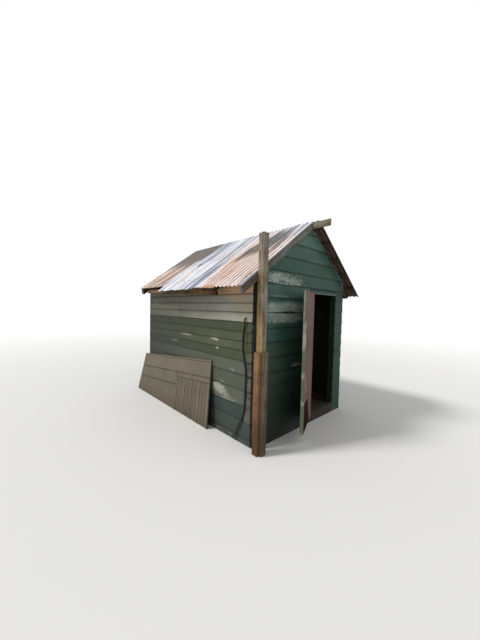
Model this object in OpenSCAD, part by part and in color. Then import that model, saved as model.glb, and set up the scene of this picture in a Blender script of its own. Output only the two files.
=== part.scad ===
// Weathered wooden outhouse: a hollow timber hut with lapped board walls, a gable roof of
// corrugated sheets, an open hinged door, a propped corner post and a panel leaning on one side.
// X runs across the front, Y runs from the front to the back and Z is up.
// The origin lies on the ground under the middle skid.

/* [Building] */
// Width over the side boards
width = 2245; // [1900:5:2600]
// Length over the front and rear boards
length = 3120; // [2700:10:3600]
// Thickness of the wall boards
siding_t = 20; // [14:1:25]
// Height of the top of the wall plates above the lowest ground
plate_top = 2185; // [2150:5:2350]

/* [Floor] */
// Side of the square skids
skid = 89; // [70:1:120]
// Thickness of the floor planks
floor_t = 38; // [25:1:45]
// Thickness of the sill plank in the doorway
threshold_t = 22; // [16:1:30]

/* [Framing] */
// Thickness of the framing lumber
lumber_t = 38; // [32:1:50]
// Depth of the framing lumber
lumber_d = 89; // [75:1:110]
// Clearance between pieces that are nailed on each other on the roof and at its edges
nail_gap = 0.2; // [0.1:0.1:0.5]
// Bays between the studs of a side wall, with a rafter over each stud
side_bays = 5; // [4:1:6]
// Bays between the studs of the rear wall
rear_bays = 3; // [2:1:4]

/* [Roof] */
// Slope of the roof
roof_pitch = 36.3; // [32:0.1:40]
// How far the rafters are notched down over the wall plates
rafter_seat = 25; // [15:1:30]
// How far the rafter tails reach out past the side boards
tail_reach = 158.5; // [120:0.5:200]
// How far the roof sheets reach out past the side boards
eave_reach = 320; // [260:5:360]
// How much shorter the two rearmost sheets of the left slope and their barge board are
short_sheet_cut = 150; // [60:5:200]
// How far the left sheets run past the ridge line
ridge_lap = 35; // [20:1:50]
// How far the right sheets stand out over the front
right_overhang = 150; // [60:5:200]
// How far the ridge board stands out over the front
ridge_board_reach = 318; // [200:2:400]
// Thickness of the roof strapping, barge and fascia lumber
strap_t = 19; // [16:1:25]
// Pieces of strapping on each slope
strap_count = 5; // [4:1:6]
// Thickness of the sheet metal
metal_t = 1.5; // [1:0.1:2]
// Depth of the corrugations from valley to crest
wave_d = 16.5; // [12:0.5:20]
// Corrugations across one sheet
wave_count = 7; // [5:1:9]
// Gap between neighbouring sheets
sheet_gap = 1; // [1:0.5:2]
// Height of the right fascia
fascia_d = 89; // [70:1:100]
// Missing length of the left fascia behind the front
fascia_missing = 610; // [300:10:700]
// Missing length of the left fascia before the rear
fascia_short = 290; // [100:10:400]
// Height of the left fascia at its front end
rotted_d = 140; // [100:1:150]
// Height of the left fascia at its rear end
rotted_end_d = 50; // [30:1:90]
// Drop of the fascia boards below the sheets
fascia_drop = 45; // [20:1:60]

/* [Walls] */
// Gap between the left boards and the face of the front boards
left_corner_gap = 45; // [30:1:60]
// Height where the gable boards begin
gable_start = 2100; // [2090:1:2110]

/* [Doorway] */
// Width of the door opening
opening_w = 800; // [700:5:860]
// Boards left between the door opening and the right corner
right_strip = 265; // [230:5:320]
// Head of the door opening above the lowest ground
opening_top = 2050; // [2030:1:2060]
// Thickness of the boards that line the doorway
jamb_t = 19; // [15:1:25]

/* [Door] */
// Gap all round the door leaf when it is shut
door_gap = 8; // [7:0.5:12]
// Thickness of the outer boards of the door
door_board_t = 12; // [9:1:15]
// Thickness of the middle layer of the door
door_core_t = 30; // [24:1:36]
// Thickness of the inner lining of the door
door_lining_t = 6; // [4:1:8]
// How far the door stands open
open_angle = 154.5; // [90:0.5:165]
// Distance of the hinge pins in front of the door face
pin_reach = 8; // [8:0.5:10]
// Radius of the hinge pins
pin_r = 4; // [3:0.5:4]
// Running clearance between a pin and its knuckle
pin_clearance = 0.1; // [0.05:0.05:0.1]
// Outer radius of the hinge knuckles
knuckle_r = 7; // [6.5:0.1:7.5]
// Thickness of the hinge plates and straps
plate_t = 3; // [2:0.5:3]
// Height of a hinge plate
plate_h = 90; // [75:1:120]
// Width of a hinge plate
plate_w = 50; // [40:1:70]
// Height of a door strap
strap_h = 29; // [24:1:34]
// Length of a door strap from the pin
strap_len = 300; // [200:5:400]
// Height of the lowest hinge above the lowest ground
hinge_low = 350; // [280:5:450]
// Height of the highest hinge above the lowest ground
hinge_high = 1850; // [1750:5:1900]

/* [Latch] */
// Height of the hasp and staple above the lowest ground
latch_z = 1070; // [950:5:1200]
// Distance of the hasp from the door opening
hasp_x = 12; // [8:1:60]
// Length of the hasp's fixed leaf
hasp_base_l = 45; // [35:1:60]
// Height of the hasp
hasp_h = 60; // [30:1:70]
// Metal left past the slot of the hasp
hasp_lip = 12; // [8:1:16]
// Thickness of the staple's bar
staple_bar = 6; // [5:0.5:7]
// Height of the staple
staple_h = 22; // [18:1:24]
// Depth of the staple's loop
staple_d = 14; // [10:1:18]
// Side of the staple's square plate
staple_plate = 46; // [36:1:56]
// Distance of the staple from the free edge of the door
staple_inset = 95; // [35:1:110]
// Clearance between the staple and the slot of the hasp
slot_clearance = 2; // [1:0.5:3]

/* [Corner post] */
// Side of the square post
post = 89; // [75:1:110]
// Height of the post above the lowest ground
post_h = 2700; // [2500:10:2900]
// How far the post stands out past the left boards
post_out = 45; // [30:1:60]
// Height of the two short pieces nailed to the post
scab_h = 1270; // [1000:10:1500]

/* [Leaning panel] */
// Thickness of the panel
panel_t = 24; // [18:1:30]
// Lean of the panel against the wall
panel_lean = 6; // [4:0.5:8]
// Height of the panel's front top corner
panel_top = 1005; // [850:5:1100]
// Distance of that corner behind the front boards
panel_start = 900; // [800:10:1000]
// Length of the panel along its top edge
panel_len = 2300; // [1900:10:2400]
// Fall of the top edge towards the back
panel_fall = 215; // [150:5:260]
// Step of the front edge from its top to its foot
panel_rake = 45; // [20:5:70]
// Step of the rear edge from its top to its foot
panel_rear_rake = 250; // [0:5:300]

/* [Pipe] */
// Radius of the black pipe on the left wall
pipe_r = 11; // [8:0.5:14]
// Flat sides round the pipe
pipe_sides = 10; // [8:1:12]

/* [Hidden] */
$fn = 48;

// Sheets side by side on each slope, each a node of its own on the left
sheet_count = 6;

half_w = width / 2;
front_y = -length / 2;
rear_y = length / 2;
frame_front = front_y + siding_t;
frame_rear = rear_y - siding_t;
frame_len = frame_rear - frame_front;
stud_x = half_w - siding_t;
floor_top = skid + floor_t;
plate_z = plate_top - lumber_t;
stud_foot = floor_top + lumber_t;
stud_len = plate_z - stud_foot;

tan_p = tan(roof_pitch);
cos_p = cos(roof_pitch);
sin_p = sin(roof_pitch);
tail_x = half_w + tail_reach;
sheet_d = wave_d + metal_t;
sheet_end = (half_w + eave_reach - sheet_d * sin_p) / cos_p;
purlin_end = tail_x / cos_p - strap_t / 2;
purlin_start = lumber_d / 2;

opening_right = half_w - right_strip;
opening_left = opening_right - opening_w;
opening_foot = floor_top + threshold_t;
leaf_w = opening_w - 2 * door_gap;
leaf_h = opening_top - opening_foot - 2 * door_gap;
pin_y = front_y - pin_reach;
core_y = pin_reach + door_board_t;
lining_y = core_y + door_core_t;
hinge_mid = (hinge_low + hinge_high) / 2;
plate_clearance = 2;
knuckle_clearance = 0.5;

barge_front = front_y - nail_gap - lumber_t;
post_back = barge_front - nail_gap;
barge_rear = rear_y + nail_gap;
post_x = -half_w - post_out;

// The pipe's route: distance behind the front boards, height, and distance of the pipe's
// middle from the wall
pipe_route = [
    [190, 1666, 0], [190, 1666, 9], [191, 1660, 20], [194, 1640, 25], [201, 1600, 21],
    [215, 1530, 14], [230, 1450, 12], [235, 1350, 12], [233, 1270, 12], [218, 1190, 12],
    [196, 1100, 12], [172, 1000, 12], [166, 900, 12], [169, 780, 12], [174, 660, 12],
    [178, 560, 12], [184, 470, 12], [203, 390, 13], [235, 320, 15], [272, 240, 18],
    [308, 165, 21], [340, 95, 24], [368, 30, 27]
];
pipe_points = [for (p = pipe_route) [-half_w - p[2], front_y + p[0], p[1]]];

// Height of the underside of the rafters at a distance x from the middle
function rafter_low(x) = plate_top - rafter_seat + tan_p * (stud_x - x);
// Height of the top of the rafters
function rafter_high(x) = rafter_low(x) + lumber_d / cos_p;
// Height of the underside of the roof sheets
function deck_high(x) = rafter_high(x) + (strap_t + 2 * nail_gap) / cos_p;

fascia_top = deck_high(tail_x + strap_t) - fascia_drop;
ridge_top = deck_high(lumber_t / 2);

// A box from its lowest corner to its highest corner
module block(low, high) {
    translate(low) cube(high - low);
}

// Children are laid on one slope: X runs down from the ridge line and Z stands off the slope
module on_slope(side, level) {
    mirror([side < 0 ? 1 : 0, 0, 0])
        translate([0, 0, level])
            rotate([0, roof_pitch, 0])
                children();
}

// Outline of one wall end from a floor height up to the tops of the rafters
module gable_outline(low) {
    polygon([
        [-half_w, low], [half_w, low],
        [half_w, rafter_high(half_w)], [0, rafter_high(0)], [-half_w, rafter_high(half_w)]
    ]);
}

// An upright outline in X and Z becomes a board that reaches back from y
module upright_board(y, thickness) {
    translate([0, y + thickness, 0])
        rotate([90, 0, 0])
            linear_extrude(thickness)
                children();
}

module skids() {
    color("#5b5146")
        for (x = [-stud_x, -skid / 2, stud_x - skid])
            block([x, frame_front, 0], [x + skid, frame_rear, skid]);
}

module floor_planks() {
    color("#6d5f4c")
        block([-stud_x, frame_front, skid], [stud_x, frame_rear, floor_top]);
}

module threshold() {
    color("#5d5346") union() {
        block([opening_left, front_y, floor_top],
              [opening_right, frame_front + lumber_d, opening_foot]);
        block([opening_left, front_y, 0], [opening_right, frame_front, floor_top]);
    }
}

// A ring of lumber that follows the inner face of the boards at one height
module plate_ring(z) {
    difference() {
        block([-stud_x, frame_front, z], [stud_x, frame_rear, z + lumber_t]);
        block([-stud_x + lumber_d, frame_front + lumber_d, z - 1],
              [stud_x - lumber_d, frame_rear - lumber_d, z + lumber_t + 1]);
    }
}

module sill_plates() {
    color("#7a684f") difference() {
        plate_ring(floor_top);
        block([opening_left - jamb_t, frame_front - 1, floor_top - 1],
              [opening_right + jamb_t, frame_front + lumber_d + 1, stud_foot + 1]);
    }
}

module top_plates() {
    color("#7a684f") plate_ring(plate_z);
}

// The studs of one side wall, with their outer face at the back of the boards
module side_studs() {
    step = (frame_len - lumber_t) / side_bays;
    for (i = [0 : side_bays])
        translate([stud_x - lumber_d, frame_front + i * step, stud_foot])
            cube([lumber_d, lumber_t, stud_len]);
}

module left_studs() {
    color("#80694c") mirror([1, 0, 0]) side_studs();
}

module right_studs() {
    color("#80694c") side_studs();
}

module front_studs() {
    end_x = stud_x - lumber_d - lumber_t;
    trimmer_x = opening_left - jamb_t - lumber_t;
    color("#80694c") {
        for (x = [-end_x - lumber_t, (trimmer_x - end_x - lumber_t) / 2, end_x])
            translate([x, frame_front, stud_foot]) cube([lumber_t, lumber_d, stud_len]);
        for (x = [trimmer_x, opening_right + jamb_t])
            block([x, frame_front, stud_foot], [x + lumber_t, frame_front + lumber_d, opening_top]);
    }
}

module rear_studs() {
    end_x = stud_x - lumber_d - lumber_t;
    step = 2 * (end_x + lumber_t / 2) / rear_bays;
    color("#80694c")
        for (i = [0 : rear_bays])
            translate([-end_x - lumber_t + i * step, frame_rear - lumber_d, stud_foot])
                cube([lumber_t, lumber_d, stud_len]);
}

module door_header() {
    reach = jamb_t + lumber_t;
    color("#565a55") union() {
        block([opening_left - reach, frame_front, opening_top],
              [opening_right + reach, frame_front + lumber_d, plate_z]);
        block([opening_left, front_y, opening_top], [opening_right, frame_front, gable_start]);
    }
}

module gable_posts() {
    color("#80694c")
        for (y = [frame_front, frame_rear - lumber_d])
            block([-lumber_t / 2, y, plate_top],
                  [lumber_t / 2, y + lumber_d, ridge_top - lumber_d - nail_gap]);
}

// One rafter from the ridge board to its plumb-cut tail, notched over the wall plate
module rafter(side) {
    tail_z = rafter_low(tail_x) - lumber_d;
    difference() {
        intersection() {
            on_slope(side, rafter_low(0))
                translate([-lumber_d, 0, 0])
                    cube([tail_x / cos_p + 2 * lumber_d, lumber_t, lumber_d]);
            mirror([side < 0 ? 1 : 0, 0, 0])
                block([lumber_t / 2, -1, tail_z], [tail_x, lumber_t + 1, ridge_top]);
        }
        mirror([side < 0 ? 1 : 0, 0, 0])
            block([stud_x - lumber_d, -1, plate_z], [stud_x, lumber_t + 1, plate_top]);
    }
}

module rafters() {
    step = (frame_len - lumber_t) / side_bays;
    color("#7c674b")
        for (i = [0 : side_bays], side = [-1, 1])
            translate([0, frame_front + i * step, 0]) rafter(side);
}

module ridge_board() {
    color("#8b8158")
        block([-lumber_t / 2, front_y - ridge_board_reach, ridge_top - lumber_d],
              [lumber_t / 2, frame_rear, ridge_top]);
}

module purlins() {
    step = (purlin_end - lumber_d - purlin_start) / (strap_count - 1);
    right_front = front_y - right_overhang + strap_t;
    color("#75634c")
        for (i = [0 : strap_count - 1], side = [-1, 1]) {
            start = side < 0 ? front_y : right_front;
            on_slope(side, rafter_high(0) + nail_gap / cos_p)
                translate([purlin_start + i * step, start, 0])
                    cube([lumber_d, rear_y - start, strap_t]);
        }
}

// Section of one sheet: flat valleys and crests joined by sloping webs
module sheet_section(w) {
    pitch = w / wave_count;
    flat = pitch / 5;
    corners = [
        for (i = [0 : wave_count - 1])
            each [
                [i * pitch, 0], [i * pitch + flat, 0],
                [(i + 0.5) * pitch, wave_d], [(i + 0.5) * pitch + flat, wave_d]
            ],
        [w, 0]
    ];
    last = len(corners) - 1;
    polygon([
        each corners,
        for (i = [last : -1 : 0]) corners[i] + [0, metal_t]
    ]);
}

// One roof sheet from u_start to u_end down the slope, with its front edge at y
module roof_sheet(side, y, w, u_start, u_end) {
    on_slope(side, deck_high(0))
        translate([u_start, y, 0])
            rotate([90, 0, 90])
                linear_extrude(u_end - u_start)
                    sheet_section(w);
}

module left_sheet(index) {
    pitch = (barge_rear + lumber_t - barge_front + sheet_gap) / sheet_count;
    short = index > sheet_count - 2 ? short_sheet_cut : 0;
    tint = index > sheet_count - 2 ? "#b39a78" : "#c9cbd4";
    color(tint)
        roof_sheet(-1, barge_front + (index - 1) * pitch, pitch - sheet_gap,
                   -ridge_lap, sheet_end - short);
}

module right_sheets() {
    start = front_y - right_overhang;
    pitch = (barge_rear + lumber_t - start + sheet_gap) / sheet_count;
    u_start = sheet_d / tan(2 * roof_pitch) + sheet_gap;
    color("#b9bac0")
        for (i = [0 : sheet_count - 1])
            roof_sheet(1, start + i * pitch, pitch - sheet_gap, u_start, sheet_end);
}

module left_siding() {
    color("#5f6a50")
        block([-half_w, front_y + left_corner_gap, 0],
              [-stud_x, frame_rear, rafter_low(half_w)]);
}

module right_siding() {
    color("#3c5a4c")
        block([stud_x, frame_front, 0], [half_w, frame_rear, rafter_low(half_w)]);
}

module rear_siding() {
    color("#3c5a4c") upright_board(frame_rear, siding_t) gable_outline(0);
}

module front_siding_left() {
    color("#3c5a4c")
        block([-half_w, front_y, 0], [opening_left, frame_front, gable_start]);
}

module front_siding_right() {
    color("#3c5a4c")
        block([opening_right, front_y, 0], [half_w, frame_front, gable_start]);
}

module gable_siding() {
    color("#3c5a4c") difference() {
        upright_board(front_y, siding_t) gable_outline(gable_start);
        block([-lumber_t / 2, front_y - 1, ridge_top - lumber_d],
              [lumber_t / 2, frame_front + 1, ridge_top + lumber_d]);
    }
}

module left_jamb() {
    color("#2f4a40")
        block([opening_left - jamb_t, frame_front, floor_top],
              [opening_left, frame_front + lumber_d, opening_top]);
}

module right_jamb() {
    color("#2f4a40")
        block([opening_right, frame_front, floor_top],
              [opening_right + jamb_t, frame_front + lumber_d, opening_top]);
}

// One sloping board under the sheets, between two upright cuts, shortened along the slope by cut
module barge(side, inner_x, y, cut = 0) {
    outer_x = half_w + eave_reach - lumber_t - cut * cos_p;
    intersection() {
        on_slope(side, deck_high(0) - nail_gap / cos_p)
            translate([-lumber_d, y, -lumber_d])
                cube([outer_x / cos_p + 2 * lumber_d, lumber_t, lumber_d]);
        mirror([side < 0 ? 1 : 0, 0, 0])
            block([inner_x, y - 1, 0], [outer_x, y + lumber_t + 1, 2 * ridge_top]);
    }
}

module front_barge() {
    color("#6b655c") barge(-1, lumber_t / 2, barge_front);
}

module rear_barges() {
    color("#6b655c")
        for (side = [-1, 1])
            barge(side, sheet_gap / 2, barge_rear, side < 0 ? short_sheet_cut : 0);
}

// The rotted board on the left rafter tails, which tapers towards the rear
module left_fascia() {
    start = front_y + fascia_missing;
    end = rear_y - fascia_short;
    color("#6e5335")
        translate([-tail_x - strap_t, 0, 0])
            rotate([90, 0, 90])
                linear_extrude(strap_t)
                    polygon([
                        [start, fascia_top - rotted_d], [end, fascia_top - rotted_end_d],
                        [end, fascia_top], [start, fascia_top]
                    ]);
}

module right_fascia() {
    color("#6e5335")
        block([tail_x, front_y, fascia_top - fascia_d], [tail_x + strap_t, rear_y, fascia_top]);
}

module corner_post() {
    color("#8a6f4d")
        block([post_x, post_back - post, 0], [post_x + post, post_back, post_h]);
}

module post_scab_left() {
    color("#9a6f4c")
        block([post_x - lumber_t, post_back - post, 0], [post_x, post_back, scab_h]);
}

module post_scab_front() {
    color("#7d675a")
        block([post_x, post_back - post - lumber_t, 0],
              [post_x + post, post_back - post, scab_h]);
}

// One fixed hinge: a plate on the wall, two knuckles and the pin that passes through them
module hinge_plate(z) {
    knuckle_h = (plate_h - strap_h) / 2 - knuckle_clearance;
    color("#2e2b28") union() {
        translate([opening_left - plate_w, front_y - plate_t, z - plate_h / 2])
            cube([plate_w - knuckle_r - plate_clearance, plate_t, plate_h]);
        for (foot = [z - plate_h / 2, z + plate_h / 2 - knuckle_h]) {
            translate([opening_left - plate_w, front_y - plate_t, foot])
                cube([plate_w, plate_t, knuckle_h]);
            translate([opening_left, pin_y, foot]) cylinder(r = knuckle_r, h = knuckle_h);
        }
        translate([opening_left, pin_y, z - plate_h / 2]) cylinder(r = pin_r, h = plate_h);
    }
}

module hinge_plates() {
    for (z = [hinge_low, hinge_mid, hinge_high]) hinge_plate(z);
}

module hasp() {
    slot_w = staple_bar + 2 * slot_clearance;
    slot_h = staple_h + 2 * slot_clearance;
    slot_x = hasp_x + door_gap + staple_inset;
    color("#2a2725") translate([opening_right + hasp_x, front_y, latch_z]) difference() {
        union() {
            translate([0, -plate_t, -hasp_h / 2]) cube([hasp_base_l, plate_t, hasp_h]);
            translate([0, -2 * plate_t, -hasp_h / 2])
                cube([slot_x + slot_w / 2 + hasp_lip, plate_t, hasp_h]);
            translate([0, -plate_t, -hasp_h / 2]) cylinder(r = plate_t, h = hasp_h);
        }
        translate([slot_x - slot_w / 2, -3 * plate_t, -slot_h / 2])
            cube([slot_w, 3 * plate_t, slot_h]);
    }
}

module leaning_panel() {
    top_y = front_y + panel_start;
    sheet_l = 2 * panel_top;
    color("#a09580") difference() {
        translate([-half_w, 0, panel_top])
            rotate([0, panel_lean, 0])
                translate([-panel_t, 0, 0])
                    rotate([90, 0, 90])
                        linear_extrude(panel_t)
                            polygon([
                                [top_y, 0], [top_y + panel_len, -panel_fall],
                                [top_y + panel_len + panel_rear_rake * sheet_l / panel_top,
                                 -sheet_l],
                                [top_y - panel_rake * sheet_l / panel_top, -sheet_l]
                            ]);
        translate([-width, front_y, -2 * sheet_l]) cube([width, 2 * length, 2 * sheet_l]);
    }
}

function unit(v) = v / norm(v);

// A round tube swept along points, closed at both ends
module swept_tube(points, r, sides) {
    last = len(points) - 1;
    rings = [
        for (i = [0 : last])
            let (along = unit(points[min(i + 1, last)] - points[max(i - 1, 0)]))
            let (across = unit(cross(along, [0.3, 1, 0.1])))
            let (up = cross(across, along))
            [for (k = [0 : sides - 1])
                points[i] + r * (cos(360 * k / sides) * across + sin(360 * k / sides) * up)]
    ];
    polyhedron(
        points = [for (ring = rings) each ring],
        faces = [
            [for (k = [0 : sides - 1]) k],
            [for (k = [sides - 1 : -1 : 0]) last * sides + k],
            for (i = [0 : last - 1], k = [0 : sides - 1])
                [i * sides + k, (i + 1) * sides + k,
                 (i + 1) * sides + (k + 1) % sides, i * sides + (k + 1) % sides]
        ]
    );
}

module black_pipe() {
    color("#1c1c1d") swept_tube(pipe_points, pipe_r, pipe_sides);
}

// Children are drawn for the shut door with the pin axis at X = 0 and Y = 0, then swung open
module on_door() {
    translate([opening_left, pin_y, 0])
        rotate([0, 0, -open_angle])
            children();
}

// One layer of the leaf between two distances behind the pin axis
module leaf_layer(near, thickness) {
    translate([door_gap, near, opening_foot + door_gap]) cube([leaf_w, thickness, leaf_h]);
}

module door_siding() {
    color("#3c5a4c") on_door() leaf_layer(pin_reach, door_board_t);
}

module door_core() {
    color("#7f8468") on_door() leaf_layer(core_y, door_core_t);
}

module door_lining() {
    color("#7c5f5a") on_door() leaf_layer(lining_y, door_lining_t);
}

// One strap with its knuckle bored for the pin
module door_strap(z) {
    difference() {
        union() {
            translate([0, pin_reach - plate_t, z - strap_h / 2])
                cube([strap_len, plate_t, strap_h]);
            translate([0, 0, z - strap_h / 2]) cylinder(r = knuckle_r, h = strap_h);
        }
        translate([0, 0, z - strap_h]) cylinder(r = pin_r + pin_clearance, h = 2 * strap_h);
    }
}

module door_straps() {
    color("#2e2b28") on_door()
        for (z = [hinge_low, hinge_mid, hinge_high]) door_strap(z);
}

// A flat plate with a square loop that a padlock goes through
module door_staple() {
    x = door_gap + leaf_w - staple_inset;
    color("#2a2725") on_door() translate([x, pin_reach - plate_t, latch_z]) union() {
        translate([-staple_plate / 2, 0, -staple_plate / 2])
            cube([staple_plate, plate_t, staple_plate]);
        difference() {
            translate([-staple_bar / 2, -staple_d - staple_bar, -staple_h / 2])
                cube([staple_bar, staple_d + staple_bar + plate_t, staple_h]);
            translate([-staple_bar, -staple_d, -staple_h / 2 + staple_bar])
                cube([2 * staple_bar, staple_d, staple_h - 2 * staple_bar]);
        }
    }
}

skids();
floor_planks();  // floor
threshold();
sill_plates();
top_plates();
left_studs();
right_studs();
front_studs();
rear_studs();
door_header();
gable_posts();
rafters();
ridge_board();
purlins();
left_sheet(1);  // left_sheet_1
left_sheet(2);  // left_sheet_2
left_sheet(3);  // left_sheet_3
left_sheet(4);  // left_sheet_4
left_sheet(5);  // left_sheet_5
left_sheet(6);  // left_sheet_6
right_sheets();
left_siding();
right_siding();
rear_siding();
front_siding_left();
front_siding_right();
gable_siding();
left_jamb();
right_jamb();
front_barge();
rear_barges();
left_fascia();
right_fascia();
corner_post();
post_scab_left();
post_scab_front();
hinge_plates();
hasp();
leaning_panel();
black_pipe();
door_siding();
door_core();
door_lining();
door_straps();
door_staple();
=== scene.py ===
"""Weathered wooden outhouse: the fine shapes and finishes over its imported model.

Every length is in metres, X runs across the front, Y runs back and Z is up.
"""
import math
from functools import partial
from itertools import product

import bpy
import numpy as np
from mathutils import Matrix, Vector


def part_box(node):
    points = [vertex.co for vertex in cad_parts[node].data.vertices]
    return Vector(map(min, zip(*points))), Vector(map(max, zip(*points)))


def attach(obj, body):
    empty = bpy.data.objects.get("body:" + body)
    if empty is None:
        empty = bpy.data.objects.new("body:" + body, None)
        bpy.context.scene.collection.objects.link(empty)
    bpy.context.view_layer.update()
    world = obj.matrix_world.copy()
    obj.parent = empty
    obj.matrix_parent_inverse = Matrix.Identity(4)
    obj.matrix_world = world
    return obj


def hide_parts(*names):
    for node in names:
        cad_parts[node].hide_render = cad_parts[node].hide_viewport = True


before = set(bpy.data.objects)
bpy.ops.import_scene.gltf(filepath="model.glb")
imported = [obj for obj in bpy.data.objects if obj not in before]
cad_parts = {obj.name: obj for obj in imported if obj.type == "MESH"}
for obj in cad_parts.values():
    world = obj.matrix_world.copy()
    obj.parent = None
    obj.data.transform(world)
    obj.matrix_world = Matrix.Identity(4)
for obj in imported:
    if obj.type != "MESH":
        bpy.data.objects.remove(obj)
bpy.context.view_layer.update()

bl_info = {
    "name": "Weathered wooden outhouse",
    "version": (1, 0, 0),
    "blender": (4, 5, 0),
    "location": "View3D > Sidebar > Outhouse",
    "description": "Boards, roof sheets, ironwork and finishes of a weathered wooden outhouse",
    "category": "Add Mesh",
}

BUILDING = "hut"
LEAF = "door"

# How boards lie: along them, across them and out of the face that shows
X, Y, Z = np.eye(3)
ON_LEFT = (Y, Z, -X)
ON_RIGHT = (Y, Z, X)
ON_FRONT = (X, Z, -Y)
ON_REAR = (X, Z, Y)
ON_FLOOR = (X, Y, Z)

# Slope of the roof, and the run of the strapping rows down it
PITCH = math.radians(36.3)
SIN_P, COS_P, TAN_P = math.sin(PITCH), math.cos(PITCH), math.tan(PITCH)
FIRST_STRAP = 0.089
STRAP_STEP = 0.3617
STRAPS = 5

# Roof sheets: their waves, how far they lap one another (a share of a wave) and the ridge, how
# many lie on a slope, and how much is cut off those of the left slope after the long ones
SHEET_DEPTH = 0.018
SHEET_METAL = 0.0015
SHEET_WAVES = 7
SHEET_LAP = 0.22
RIDGE_LAP = 0.035
SHEETS = 6
LONG_SHEETS = 4
SHORT_CUT = 0.150

# Height of the left fascia at its rear end, as a share of its height at the front
ROTTED_END = 50 / 140
BARGE_DEPTH = 0.089

# The gable boards end on this line under the strapping, and never past the wall's corner
GABLE_BASE = 2.2704
GABLE_REACH = 1.1025
WALL_REACH = 1.1225

# The open door turns back on its pin by this much: U runs along the leaf, V through it
OPEN_ANGLE = math.radians(154.5)
LEAF_PIN = np.array([0.0575, -1.568, 0.0])
LEAF_U = np.array([math.cos(OPEN_ANGLE), -math.sin(OPEN_ANGLE), 0.0])
LEAF_V = np.array([math.sin(OPEN_ANGLE), math.cos(OPEN_ANGLE), 0.0])
LEAF_EDGE = 0.792
LEAF_HINGE = 0.008
LEAF_FOOT = 0.157
LEAF_HEAD = 2.042
HINGE_HEIGHTS = (0.35, 1.10, 1.85)
STAPLE_HEIGHT = 1.07
# How deep the layers of the leaf lie, from its outside: boards, core behind them and lining
IRON_FACE = 0.005
BOARDS_BACK = 0.020
CORE_FACE = 0.0205
CORE_THICK = 0.029
LINING_FACE = 0.050
LINING_BACK = 0.056
# Width and depth of the upright piece that shows as the leaf's free edge
STILE_WIDE = 0.030
STILE_DEEP = 0.042

# Heights of the lower edges of the boards
LEFT_LAPS = [
    0.0, 0.10, 0.31, 0.51, 0.72, 0.922, 1.105, 1.241, 1.364, 1.494, 1.621, 1.75, 1.872, 1.99,
]
FRONT_LAPS = [0.0, 0.193, 0.384, 0.574, 0.778, 0.953, 1.158, 1.361, 1.547, 1.757, 1.948]
GABLE_LAPS = [2.132, 2.318, 2.521, 2.728, 2.935]
GABLE_PEAK = 3.0
# Depth that lapped boards fill on a wall and on the door, and how far a wall board bows
WALL_BOARDS = 0.020
DOOR_BOARDS = 0.012
BOARD_BOW = 0.0006

# Nails go in this far above the lower edge of each board, and their heads stand out
NAIL_RISE = 0.024
NAIL_STANDS = 0.0012
# The frame of a side wall starts this far before its boards do, and its studs stand evenly
FRAME_START = -0.025
FRAME_LENGTH = 3.08
STUD = 0.038
STUDS = 6
# Length of the near-black board ends beside the corner post, painted shade of the corner,
# and the gap between floor planks
CORNER_SHADE_END = 0.038
PLANK_GAP = 0.003

# Heights where the left wall changes from one paint to the next
TEAL_TOP = 0.51
GREY_TOP = 1.105
OLIVE_TOP = 1.621
# Where the patch boards beside the pipe end, and the heights where they and their paint start
PATCH_JOINT = -1.365
PATCH_FOOT = 0.30
PATCH_PAINTED = GREY_TOP - 0.15


def linear(code):
    """Linear red, green, blue and alpha of an sRGB hex colour."""
    parts = [int(code[i:i + 2], 16) / 255 for i in (1, 3, 5)]
    curve = [p / 12.92 if p <= 0.04045 else ((p + 0.055) / 1.055) ** 2.4 for p in parts]
    return (*curve, 1.0)


def hue(label, code, what):
    """A colour that a user can change, shown in the panel."""
    return bpy.props.FloatVectorProperty(
        name=label, description=what, subtype="COLOR", size=4, min=0.0, max=1.0,
        default=linear(code),
    )


def span(label, metres, what):
    """A length that a user can change, shown in the panel."""
    return bpy.props.FloatProperty(
        name=label, description=what, unit="LENGTH", subtype="DISTANCE", default=metres,
        min=0.0, precision=4,
    )


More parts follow.
